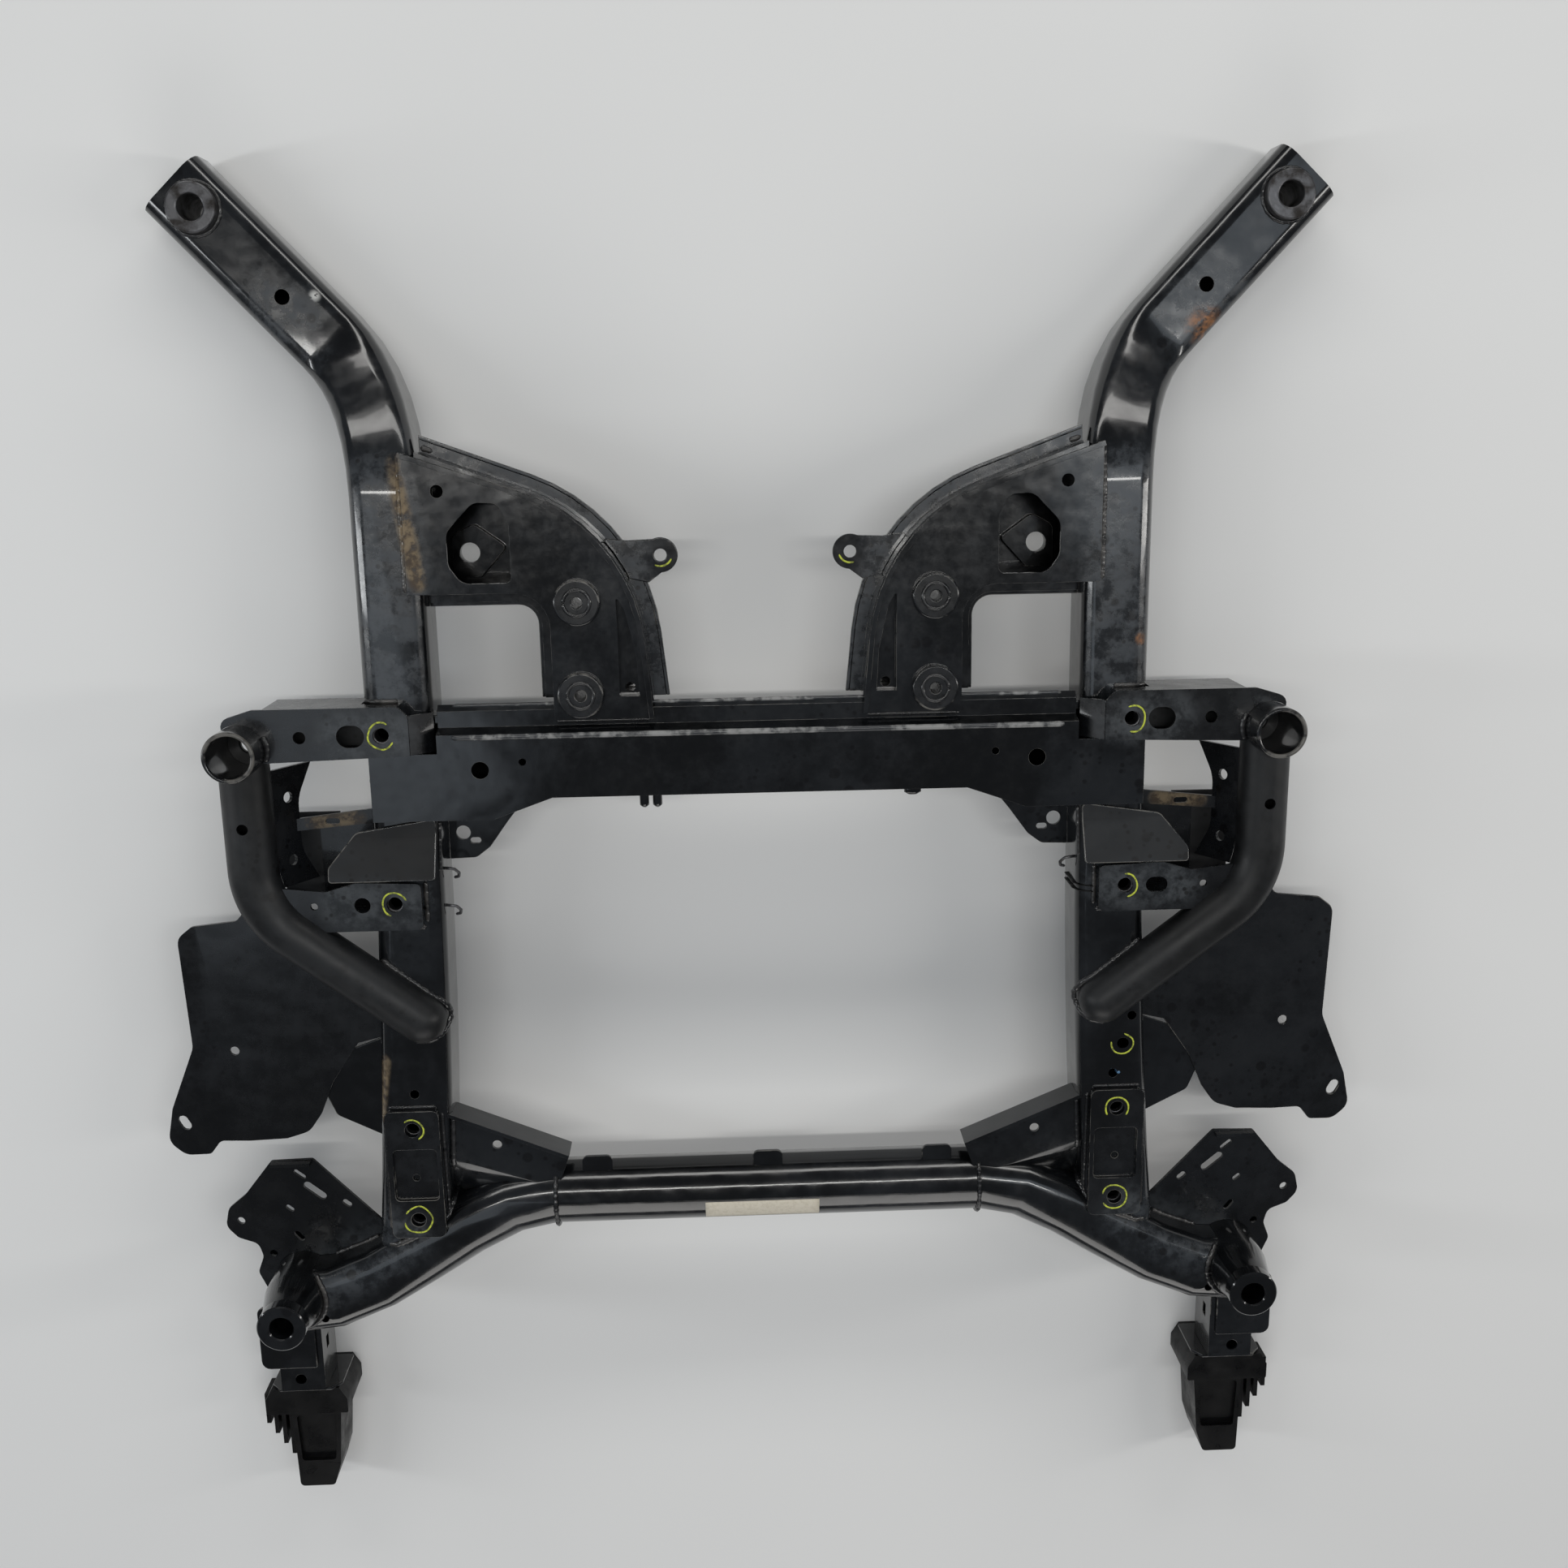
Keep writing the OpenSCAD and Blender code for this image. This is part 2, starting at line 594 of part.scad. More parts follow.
module crossmember_lower() {
    bottom = rail_top - cross_depth;
    reach = rail_in - weld_gap;
    edge = cross_edge(reach);
    wall_y = cross_ridge + 12;
    flange_z = rail_top - 2 * sheet - weld_gap;
    color(ecoat) difference() {
        union() {
            translate([0, 0, bottom]) linear_extrude(sheet)
                polygon(concat(edge, [[reach, wall_y], [-reach, wall_y]]));
            translate([0, 0, bottom]) linear_extrude(cross_depth) polygon(strip(edge, sheet));
            fold_x(strip([[wall_y, bottom], [wall_y, flange_z], [cross_rear - 3 * sheet, flange_z]], sheet),
                -reach, reach);
        }
        for (side = SIDES) sided(side)
            hole(collar_x, collar_y, stem_r + weld_gap);
    }
}

// Bracket box that carries the middle mount beside the rail
module upper_bracket(side) {
    x0 = rail_x - 12;
    y0 = cross_ridge - 13 + weld_gap;
    y1 = upper_nut_y + 23;
    under = upper_z - cut;
    beside = rail_out + weld_gap;
    color(ecoat_worn) sided(side) difference() {
        union() {
            plate([[x0, y0, 0], [mid_x + 6, y0 - 4, 0], [mid_x + 14, mid_y + 24, 8], [mid_x - 12, y1, 8],
                [x0 + 8, y1, 6], [x0, y1 - 8, 6]], upper_z - sheet);
            fold_y(strip([[x0 - 17, on_rail], [x0 + cut, under]], -sheet), y0, y1 - 8);
            translate([x0 + 8, y1 - sheet, on_rail]) cube([mid_x - x0 - 28, sheet, under - on_rail]);
            translate([beside, y1 - sheet, rail_z]) cube([mid_x - beside - 20, sheet, under - rail_z]);
            translate([beside, y0, rail_z + 15]) cube([mid_x - beside - 16, sheet, under - rail_z - 15]);
        }
        mid_sleeve_space();
        leg_space();
        hole(nut_x, upper_nut_y, nut_bore_r + 1);
        slot(nut_x + 24, upper_nut_y, 22, 18, 0, upper_z - 2 * sheet);
        hole(nut_x + 64, upper_nut_y, 5, upper_z - 2 * sheet);
    }
}

// Bracket over the rail, in front of the opening for the control arm
module lower_bracket(side) {
    y0 = lower_nut_y - 22;
    y1 = lower_nut_y + 17;
    x0 = rail_x - 12;
    under = lower_z - cut;
    floor_z = rail_z - 20;
    beside = rail_at(y0) + rail_width(y0) / 2 + weld_gap;
    color(ecoat_worn) sided(side) difference() {
        union() {
            plate([[x0, y0, 5], [mid_x - 40, y0, 5], [mid_x - 12, y1, 5], [mid_x - 57, y1 - 5, 8],
                [mid_x - 82, y1 + 2, 8], [x0, y1, 4]], lower_z - sheet);
            translate([x0 + 6, y0, on_rail]) cube([mid_x - x0 - 52, sheet, under - on_rail]);
            translate([beside, y0, floor_z]) cube([50, sheet, under - floor_z]);
            translate([beside, y0, floor_z]) cube([50, 82, sheet]);
        }
        filled_member(leg_path(), tube_steps);
        hole(nut_x, lower_nut_y, nut_bore_r + 1);
        if (side == RIGHT) slot(nut_x + 26, lower_nut_y, 18, 13, 0, lower_z - 2 * sheet);
        else hole(nut_x + 26, lower_nut_y, 6.5, lower_z - 2 * sheet);
        hole(nut_x + 65, lower_nut_y, 3, lower_z - 2 * sheet);
    }
}

// Sloping plate on the rail, between the crossmember and the lower bracket
module web_plate(side) {
    y0 = lower_nut_y + 19 + weld_gap;
    y1 = cross_front - cross_swell - weld_gap;
    color(ecoat_worn) sided(side) intersection() {
        plate([[rail_x - 24, y0, 3], [rail_out + 35, y0, 3], [rail_out + 35, y0 + 12, 6],
            [rail_out + 12, y1 - 10, 10], [rail_x - 26, y1, 4]], 0, mid_top);
        fold_x(strip([[y0 - 1, lower_z - sheet], [y1 - 14, on_rail], [y1 + cut, on_rail]], sheet),
            rail_in - rail_w, rail_out + rail_w);
    }
}

// Steep plate with two holes between the leg and the bracket boxes, and the tab that holds it to the rail
module slotted_plate(side) {
    foot = [rail_out + 56, rail_z - 6];
    top = [mid_x - 12, leg_z - 6];
    slope = atan2(top.y - foot.y, top.x - foot.x);
    l = norm(top - foot);
    y0 = lower_nut_y + 12;
    y1 = cross_front + 25;
    tab_y = (y0 + y1) / 2;
    tab_x = rail_at(tab_y) + rail_width(tab_y) / 2 + weld_gap;
    color(ecoat_worn) sided(side) difference() {
        union() {
            translate([foot.x, 0, foot.y]) rotate([0, -slope, 0]) linear_extrude(sheet) difference() {
                polygon(rounded([[0, y0, 0], [l, y0, 0], [l, y1, 0], [0, y1, 0], [l / 3, tab_y + 22, 30],
                    [l / 3, tab_y - 22, 30]]));
                for (y = [y0 + 21, y1 - 25])
                    translate([l * 0.55, y]) circle(4.5);
            }
            plate([[tab_x, tab_y, 0], [foot.x + 14, tab_y - 6, 4], [foot.x + 14, tab_y + 4, 4],
                [tab_x, tab_y + 12, 0]], rail_z + 9);
        }
        leg_space();
        mid_sleeve_space();
        slot(tab_x + 34, tab_y + 2, 12, 5);
    }
}

module leg(side) {
    color(ecoat) sided(side) difference() {
        hollow_member(leg_path(), sheet, tube_steps);
        mid_sleeve_space();
        rail_solid();
        hole(mid_x, mid_y - 62, 4.5, leg_z);
    }
}

module middle_sleeve(side) {
    color(ecoat) sided(side)
        sleeve(mid_x, mid_y, mid_sleeve_r, mid_bore_r, mid_sleeve_r, 4, leg_z - leg_r - 4, mid_top);
}

// Folded shield beside the rail, under the leg
module wing(side) {
    at = [wing_fold_x, wing_y];
    color(ecoat_worn) sided(side) difference() {
        intersection() {
            translate(at) plate([[rail_x + 20 - at.x, 34, 0], [rail_x + 20 - at.x, 2, 0], [-114, -8, 0],
                [-90, -43, 10], [-78, -72, 16], [-66, -89, 16], [-46, -95, 10], [13, -97, 8], [23, -110, 6],
                [46, -112, 14], [wing_flap + 1, -100, 12], [54, -68, 14], [29, -10, 20], [32, 90, 12],
                [18, 101, 8], [-20, 105, 6], [-42, 130, 12], [-62, 130, 8]], 0, rail_top);
            translate(at) rotate(-8)
                fold_y(strip([[-wing_fold_x / 2, wing_z - sheet], [0, wing_z - sheet],
                    [wing_flap + 20, wing_z - sheet - wing_drop]], sheet), -200, 220);
        }
        rail_solid();
        leg_space();
        slot(at.x + 44, at.y - 81, 14, 9, 60);
        hole(at.x - 8, at.y - 12, 4);
    }
}

// Small plate that ties the wing's front corner to the rail
module wing_gusset(side) {
    z = wing_z - 2 * sheet - weld_gap;
    x0 = rail_x + 24;
    color(ecoat) sided(side) difference() {
        translate([x0, wing_y]) plate([[0, 2, 0], [48, -16, 0], [70, -56, 8], [62, -76, 8], [0, -108, 0]], z);
        rail_solid();
        leg_space();
    }
}

module front_rail(side) {
    color(ecoat) sided(side) difference() {
        hollow_member(rail_path(), sheet, loft_steps);
        tube_solid();
        for (k = [0, 1])
            hole(rail_at(seat_y - 20), seat_y - k * seat_pitch, nut_r + weld_gap, rail_z);
        hole(nut_x, lower_nut_y, nut_bore_r + 2, rail_z);
        hole(rail_at(seat_y + 30), seat_y + 30, 4, rail_z);
        if (side == RIGHT) {
            hole(rail_at(seat_y) + 6, seat_y + 57, 5, rail_z);
            hole(rail_at(seat_y) + 13, seat_y + 82, 4, rail_z);
        }
    }
}

// Seat for the roll bar's clamp: two pads with a drilled trough between them
module roll_bar_seat(side) {
    x = rail_at(seat_y - 20);
    half = rail_w / 2 - 4.5;
    y0 = seat_y - seat_pitch - 17;
    y1 = seat_y + 17;
    pad = 35;
    color(ecoat_worn) sided(side) difference() {
        plate([[x - half, y0, 6], [x + half, y0, 6], [x + half, y1, 6], [x - half, y1, 6]], on_rail, seat_rise);
        plate([[x - half + 4, y0 + pad, 4], [x + half - 5, y0 + pad, 4], [x + half - 5, y1 - pad, 4],
            [x - half + 4, y1 - pad, 4]], on_rail + 2, seat_rise);
        tube_solid();
        for (k = [0, 1])
            hole(x, seat_y - k * seat_pitch, nut_bore_r + 0.8);
        hole(x, (y0 + y1) / 2 - 4, 3, on_rail - cut);
    }
}

// Plate under the crossmember that carries an engine mount's edge
module engine_gusset(side) {
    rear = cross_front - cross_swell - weld_gap;
    color(ecoat) sided(side) difference() {
        plate([[rail_in + 10, rear - 47, 0], [rail_in + 10, rear, 0], [rail_in - 62, rear, 4],
            [rail_in - 50, rear - 15, 8], [rail_in - 34, rear - 37, 10], [rail_in - 22, rear - 46, 8]],
            rail_z - rail_h / 4);
        rail_solid();
        hole(rail_in - 12, rear - 24, 6);
        slot(rail_in - 22, rear - 31, 9, 5);
    }
}

module front_tube() {
    color(ecoat) difference() {
        hollow_member(tube_path(), sheet, tube_steps);
        for (side = SIDES) sided(side) {
            front_sleeve_space();
            hole(front_x - 25, front_y - 18, 3.5, tube_z + horn_rise);
        }
    }
}

// Cable tabs along the rear of the front tube
module tube_tabs() {
    color(ecoat) difference() {
        for (x = [-148, 0, 148])
            plate([[x - 13, tube_y + 20, 0], [x + 13, tube_y + 20, 0], [x + 13, tube_y + tube_r + 10, 5],
                [x - 13, tube_y + tube_r + 10, 5]], tube_z + 12);
        straight_bar([-front_x, tube_y, tube_z], [front_x, tube_y, tube_z], tube_r + weld_gap);
    }
}

// Folded brace in the corner of rail and front tube, with a lip along its rear edge
module brace(side) {
    z = rail_top - 8;
    rear = [[tube_straight - 14, tube_y + 43], [rail_x, tube_y + 93]];
    ridge = [tube_straight - 3, tube_y + 12];
    color(ecoat) sided(side) difference() {
        union() {
            translate([0, 0, z - 24]) linear_extrude(24 + 4) polygon(strip(rear, -sheet));
            intersection() {
                plate([[rear[0].x, rear[0].y - 0.5, 0], [ridge.x, ridge.y, 0], [ridge.x + 8, tube_y - 6, 0],
                    [rail_x, tube_y - 14, 0], [rail_x, rear[1].y - 0.5, 0]], 0, rail_top);
                translate(ridge) rotate(19)
                    fold_x(strip([[-60, z - 28 - sheet], [0, z - sheet], [100, z - sheet]], sheet), -80, 160);
            }
        }
        rail_solid();
        tube_solid();
        hole(rail_in - 30, tube_y + 54, 4);
    }
}

// Flat gusset below the brace, in the corner of rail and tube
module tube_gusset(side) {
    color(ecoat) sided(side) difference() {
        plate([[rail_x, tube_y + 48, 0], [tube_straight - 5, tube_y + 14, 0], [tube_straight + 15, tube_y - 10, 0],
            [rail_x, tube_y - 44, 0]], tube_z - 14);
        rail_solid();
        tube_solid();
    }
}

// Front mount sleeve on its boss, which closes the horn's end
module front_sleeve(side) {
    z0 = column_top + weld_gap;
    z1 = tube_z + horn_rise + tube_r - 2;
    rim_h = 12;
    inner = front_bore_r + 2;
    color(ecoat) sided(side) {
        sleeve(front_x, front_y, front_sleeve_r, front_bore_r, front_collar_r, rim_h, z0, front_top);
        difference() {
            translate([front_x, front_y, 0]) rotate_extrude()
                polygon([[inner, z0], [front_boss_r, z0], [front_boss_r, z1], [front_collar_r - 1, front_top - rim_h],
                    [inner, front_top - rim_h]]);
            tube_solid();
        }
    }
}

// Folded splash-shield bracket on the horn, with a lip at its rear edge
module shield_bracket(side) {
    fold = [front_x + 44, front_y + 80];
    color(ecoat_worn) sided(side) difference() {
        union() {
            intersection() {
                translate([front_x, front_y]) plate([[-71, 9, 0], [-71, 54, 4], [-15, 114, 3], [21, 113, 3],
                    [45, 83, 10], [63, 67, 12], [68, 48, 10], [58, 37, 8], [40, 32, 8], [37, 19, 8], [44, 2, 8],
                    [36, -18, 4], [-12, -24, 0]], 0, rail_top);
                translate(fold) rotate(-33)
                    fold_y(strip([[-150, shield_z], [0, shield_z], [60, shield_z - 14]], sheet), -150, 80);
            }
            translate([front_x - 14, front_y + 110, shield_z]) cube([34, sheet, 10]);
        }
        tube_solid();
        hole(front_x, front_y, front_boss_r + weld_gap);
        slot(front_x - 15, front_y + 84, 23, 7, 40);
        slot(front_x - 3, front_y + 100, 12, 4, 40);
        slot(front_x - 42, front_y + 71, 9, 5, 40);
        slot(front_x + 8, front_y + 68, 8, 4, 40);
        slot(front_x + 2, front_y + 41, 11, 5, 50);
        for (p = [[53, 55], [27, 23]])
            hole(front_x + p.x, front_y + p.y, 3.5);
    }
}

// Box column under the horn that carries the crush foot, with two slots in its inner wall
module foot_column(side) {
    x0 = column_x - column_w / 2;
    y1 = front_y + 24;
    z0 = column_top - column_h;
    color(ecoat) sided(side) difference() {
        translate([x0, flange_y + weld_gap, z0]) cube([column_w, y1 - flange_y - weld_gap, column_h]);
        translate([x0 + sheet, flange_y - cut, z0 + sheet])
            cube([column_w - 2 * sheet, y1 - flange_y + 3 * cut, column_h - 2 * sheet]);
        hole(front_x, front_y, front_bore_r + 2);
        hole(column_x + 2, flange_y + 12, 5, column_top - 10);
        for (k = [0, 1])
            translate([x0 - cut, flange_y + 34 + 22 * k, z0 + column_h / 2]) cube([sheet + 2 * cut, 12, 8]);
    }
}

// Plate on the column, in front of the horn
module saddle_plate(side) {
    x0 = column_x - column_w / 2 + 5;
    x1 = x0 + column_w + 10;
    y0 = flange_y + 25;
    y1 = front_y - front_boss_r - 6;
    color(ecoat) sided(side)
        plate([[x0, y0, 2], [x1, y0, 8], [x1, y1 - 8, 6], [x1 - 12, y1, 6], [x0, y1, 2]], column_top + weld_gap);
}

module foot_flange(side) {
    half = column_w / 2 + 12;
    z0 = 8;
    z1 = column_top - 4;
    color(ecoat) sided(side) translate([column_x, flange_y, 0]) rotate([90, 0, 0]) linear_extrude(sheet)
        difference() {
            polygon([[-half, z0], [half, z0], [half, z1 - 10], [half - 8, z1], [8 - half, z1], [-half, z1 - 10]]);
            translate([-14, 26]) square([28, 22]);
        }
}

// Moulded crush foot: a wide head, a box that is open in front, and ribs beside it that grow shorter outwards
module foot(side) {
    x0 = foot_x - foot_w / 2;
    x1 = foot_x + foot_w / 2;
    y0 = foot_y - foot_len;
    y1 = foot_y - head_len;
    wall = 4;
    bay = (foot_w - 18 - wall) / 2;
    ribs = 4;
    color(black_plastic) sided(side) {
        difference() {
            union() {
                plate([[x0 - 9, y1, 2], [x1 + 20, y1, 2], [x1 + 20, foot_y - 11, 0], [x1 + 14, foot_y, 0],
                    [x0 - 2, foot_y, 0], [x0 - 9, foot_y - 12, 0]], 0, head_h);
                plate([[x0 + 12, y0, 4], [x1 - 2, y0, 4], [x1, y1 + cut, 0], [x0, y1 + cut, 0],
                    [x0 + 5, y0 + 22, 6]], 0, foot_h);
            }
            plate([[x0 + 9, y0 + 27, 3], [x1 - 6, y0 + 27, 3], [x1 - 4, y1 - 8, 3], [x0 + 5, y1 - 8, 3]],
                foot_h - 5, head_h);
            for (k = [0, 1])
                translate([x0 + 14 + k * (bay + wall), y0 - cut, wall])
                    cube([bay, foot_len - head_len, foot_h - 5 - 2 * wall]);
        }
        for (k = [1:ribs])
            translate([x1 - cut, y1 - 66 + 9 * k, 0]) {
                cube([8 * k, 67 - 9 * k, 10]);
                translate([8 * k - 4, 0, 0]) cube([4, 67 - 9 * k, 38 - 3 * k]);
            }
    }
}

// Weld nut that hangs under a plate whose lower face is at z
module weld_nut(x, y, z, h) {
    translate([x, y, z - h]) difference() {
        cylinder(h = h, r = nut_r);
        translate([0, 0, -cut]) cylinder(h = h + 2 * cut, r = nut_bore_r);
    }
}

module bracket_nuts() {
    color(bare_steel) for (side = SIDES) sided(side) {
        weld_nut(nut_x, upper_nut_y, upper_z - sheet, upper_rise - sheet - weld_gap);
        weld_nut(nut_x, lower_nut_y, lower_z - sheet, lower_rise - sheet - weld_gap);
    }
}

module seat_nuts() {
    color(bare_steel) for (side = SIDES, k = [0, 1]) sided(side)
        weld_nut(rail_at(seat_y - 20), seat_y - k * seat_pitch, on_rail, 6);
}

rear_arm(LEFT);  // rear_arm_left
rear_arm(RIGHT);  // rear_arm_right
rear_sleeve(LEFT);  // rear_sleeve_left
rear_sleeve(RIGHT);  // rear_sleeve_right
panel_upper(LEFT);  // panel_upper_left
panel_upper(RIGHT);  // panel_upper_right
panel_lower(LEFT);  // panel_lower_left
panel_lower(RIGHT);  // panel_lower_right
panel_ear(LEFT);  // panel_ear_left
panel_ear(RIGHT);  // panel_ear_right
mount_collars();
crossmember_upper();
crossmember_lower();
upper_bracket(LEFT);  // upper_bracket_left
upper_bracket(RIGHT);  // upper_bracket_right
lower_bracket(LEFT);  // lower_bracket_left
lower_bracket(RIGHT);  // lower_bracket_right
web_plate(LEFT);  // web_plate_left
web_plate(RIGHT);  // web_plate_right
slotted_plate(LEFT);  // slotted_plate_left
slotted_plate(RIGHT);  // slotted_plate_right
leg(LEFT);  // leg_left
leg(RIGHT);  // leg_right
middle_sleeve(LEFT);  // middle_sleeve_left
middle_sleeve(RIGHT);  // middle_sleeve_right
wing(LEFT);  // wing_left
wing(RIGHT);  // wing_right
wing_gusset(LEFT);  // wing_gusset_left
wing_gusset(RIGHT);  // wing_gusset_right
front_rail(LEFT);  // front_rail_left
front_rail(RIGHT);  // front_rail_right
roll_bar_seat(LEFT);  // roll_bar_seat_left
roll_bar_seat(RIGHT);  // roll_bar_seat_right
engine_gusset(LEFT);  // engine_gusset_left
engine_gusset(RIGHT);  // engine_gusset_right
front_tube();
tube_tabs();
brace(LEFT);  // brace_left
brace(RIGHT);  // brace_right
tube_gusset(LEFT);  // tube_gusset_left
tube_gusset(RIGHT);  // tube_gusset_right
front_sleeve(LEFT);  // front_sleeve_left
front_sleeve(RIGHT);  // front_sleeve_right
shield_bracket(LEFT);  // shield_bracket_left
shield_bracket(RIGHT);  // shield_bracket_right
foot_column(LEFT);  // foot_column_left
foot_column(RIGHT);  // foot_column_right
saddle_plate(LEFT);  // saddle_plate_left
saddle_plate(RIGHT);  // saddle_plate_right
foot_flange(LEFT);  // foot_flange_left
foot_flange(RIGHT);  // foot_flange_right
foot(LEFT);  // foot_left
foot(RIGHT);  // foot_right
bracket_nuts();
seat_nuts();
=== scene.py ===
"""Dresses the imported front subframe: black e-coat with wear and rust, weld beads, paint-pen
marks and small clips, seen from above on a pale floor."""

import json
import math

import bmesh
import bpy
from mathutils import Matrix, Vector, noise
from mathutils.bvhtree import BVHTree


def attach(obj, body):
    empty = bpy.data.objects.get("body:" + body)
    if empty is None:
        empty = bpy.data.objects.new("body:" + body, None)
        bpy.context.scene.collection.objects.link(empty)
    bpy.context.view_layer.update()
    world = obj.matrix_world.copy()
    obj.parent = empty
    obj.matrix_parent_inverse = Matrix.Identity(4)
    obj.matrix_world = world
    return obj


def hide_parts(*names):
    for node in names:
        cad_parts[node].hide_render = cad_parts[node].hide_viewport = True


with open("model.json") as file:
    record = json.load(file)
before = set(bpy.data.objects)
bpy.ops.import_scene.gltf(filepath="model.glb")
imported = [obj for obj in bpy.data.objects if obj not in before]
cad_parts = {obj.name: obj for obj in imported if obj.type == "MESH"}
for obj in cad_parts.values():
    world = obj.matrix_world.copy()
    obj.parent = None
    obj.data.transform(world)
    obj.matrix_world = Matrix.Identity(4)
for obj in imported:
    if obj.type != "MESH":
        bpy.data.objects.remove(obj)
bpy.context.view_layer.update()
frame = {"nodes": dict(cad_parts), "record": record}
nodes = frame["nodes"]
scene = bpy.context.scene

LEFT, RIGHT = -1, 1
SIDES = ((LEFT, "left"), (RIGHT, "right"))
UP = Vector((0, 0, 1))
DOWN = -UP
FORWARD = Vector((0, -1, 0))

# Sizes in millimetres that the solids are built to
RAIL_X, RAIL_W, RAIL_FRONT_W, RAIL_FLARE = 290, 55, 62, 18
RAIL_REAR_Y, RAIL_FRONT_Y = 126, -316
RAIL_Z, RAIL_H = 81, 62
REAR_MOUNT = (432, 550)
MIDDLE_MOUNT = (412, 134)
FRONT_MOUNT = (412, -354)
LEG_CORNER = (412, 0, 121)
LEG_END = (286, -101, 115)
LEG_R, LEG_BEND, LEG_WALL = 20, 72, 2.5
LEG_HOLE_Y, LEG_HOLE_R = 72, 4.5
MIDDLE_SLEEVE_R = 20.3
TUBE_Y, TUBE_Z, TUBE_R = -276, 84, 28
NUT_X, UPPER_NUT_Y, LOWER_NUT_Y = 300, 143, 2
SEAT_X, SEAT_Y, SEAT_PITCH = 301.02, -199.9, 83
EAR = (76, 278)
COLLARS = ((142, 170), (142, 244))
CROSS_RIDGE, CROSS_REAR = 139, 162


def metres(x, y, z):
    """Point in metres, from millimetres."""
    return Vector((x, y, z)) / 1000


def rail_at(y):
    """Centre line and half width of a rail at y, in millimetres."""
    share = max((RAIL_REAR_Y - y) / (RAIL_REAR_Y - RAIL_FRONT_Y), 0)
    return RAIL_X + RAIL_FLARE * share**2, (RAIL_W + (RAIL_FRONT_W - RAIL_W) * share) / 2


# Materials

class Shader:
    """A Principled material with short calls for the nodes that feed it."""

    def __init__(self, name):
        self.material = bpy.data.materials.new(name)
        self.material.use_nodes = True
        self.tree = self.material.node_tree
        self.surface = self.tree.nodes["Principled BSDF"]
        self.place = self.node("ShaderNodeTexCoord").outputs["Object"]

    def node(self, kind, **settings):
        made = self.tree.nodes.new(kind)
        for key, value in settings.items():
            setattr(made, key, value)
        return made

    def feed(self, socket, value):
        if isinstance(value, bpy.types.NodeSocket):
            self.tree.links.new(value, socket)
        elif isinstance(value, tuple) and len(value) == 3 and socket.type == "RGBA":
            socket.default_value = (*value, 1)
        else:
            socket.default_value = value

    def noise(self, scale, detail=4, rough=0.55, distortion=0):
        made = self.node("ShaderNodeTexNoise")
        self.feed(made.inputs["Vector"], self.place)
        settings = {"Scale": scale, "Detail": detail, "Roughness": rough, "Distortion": distortion}
        for key, value in settings.items():
            self.feed(made.inputs[key], value)
        return made.outputs["Fac"]

    def cells(self, scale):
        made = self.node("ShaderNodeTexVoronoi")
        self.feed(made.inputs["Vector"], self.place)
        self.feed(made.inputs["Scale"], scale)
        return made.outputs["Distance"]

    def span(self, value, low, high, to_low=0.0, to_high=1.0):
        made = self.node("ShaderNodeMapRange", interpolation_type="SMOOTHSTEP")
        settings = {"Value": value, "From Min": low, "From Max": high, "To Min": to_low, "To Max": to_high}
        for key, item in settings.items():
            self.feed(made.inputs[key], item)
        return made.outputs["Result"]

    def math(self, operation, a, b=0.0):
        made = self.node("ShaderNodeMath", operation=operation)
        self.feed(made.inputs[0], a)
        self.feed(made.inputs[1], b)
        return made.outputs["Value"]

    def mix(self, share, a, b):
        made = self.node("ShaderNodeMix", data_type="RGBA")
        self.feed(made.inputs["Factor"], share)
        self.feed(made.inputs["A"], a)
        self.feed(made.inputs["B"], b)
        return made.outputs["Result"]

    def near(self, marks, place):
        """One along any of the marks (start, end, radius in millimetres), and zero away from them."""
        total = None
        for start, end, radius in marks:
            stretch = metres(*end) - metres(*start)
            along = stretch.normalized()
            gap = self.vector("SUBTRACT", place, metres(*start)).outputs["Vector"]
            reach = self.node("ShaderNodeClamp")
            self.feed(reach.inputs["Value"], self.vector("DOT_PRODUCT", gap, along).outputs["Value"])
            self.feed(reach.inputs["Max"], stretch.length)
            foot = self.vector("SCALE", along)
            self.feed(foot.inputs["Scale"], reach.outputs["Result"])
            off = self.vector("DISTANCE", gap, foot.outputs["Vector"]).outputs["Value"]
            here = self.span(off, radius / 1000, radius / 3000)
            total = here if total is None else self.math("MAXIMUM", total, here)
        return total

    def vector(self, operation, a, b=None):
        made = self.node("ShaderNodeVectorMath", operation=operation)
        self.feed(made.inputs[0], a)
        if b is not None:
            self.feed(made.inputs[1], b)
        return made

    def mirrored(self):
        """The place with the left side folded onto the right."""
        parts = self.node("ShaderNodeSeparateXYZ")
        self.feed(parts.inputs[0], self.place)
        whole = self.node("ShaderNodeCombineXYZ")
        self.feed(whole.inputs["X"], self.math("ABSOLUTE", parts.outputs["X"]))
        self.feed(whole.inputs["Y"], parts.outputs["Y"])
        self.feed(whole.inputs["Z"], parts.outputs["Z"])
        return whole.outputs[0]

    def bump(self, height, strength, distance=0.001):
        made = self.node("ShaderNodeBump")
        for key, value in (("Height", height), ("Strength", strength), ("Distance", distance)):
            self.feed(made.inputs[key], value)
        self.feed(self.surface.inputs["Normal"], made.outputs["Normal"])

    def set(self, **values):
        for key, value in values.items():
            self.feed(self.surface.inputs[key.replace("_", " ")], value)
        return self.material


def spot(x, y, z, radius):
    """A mark round one point."""
    return (x, y, z), (x, y, z), radius


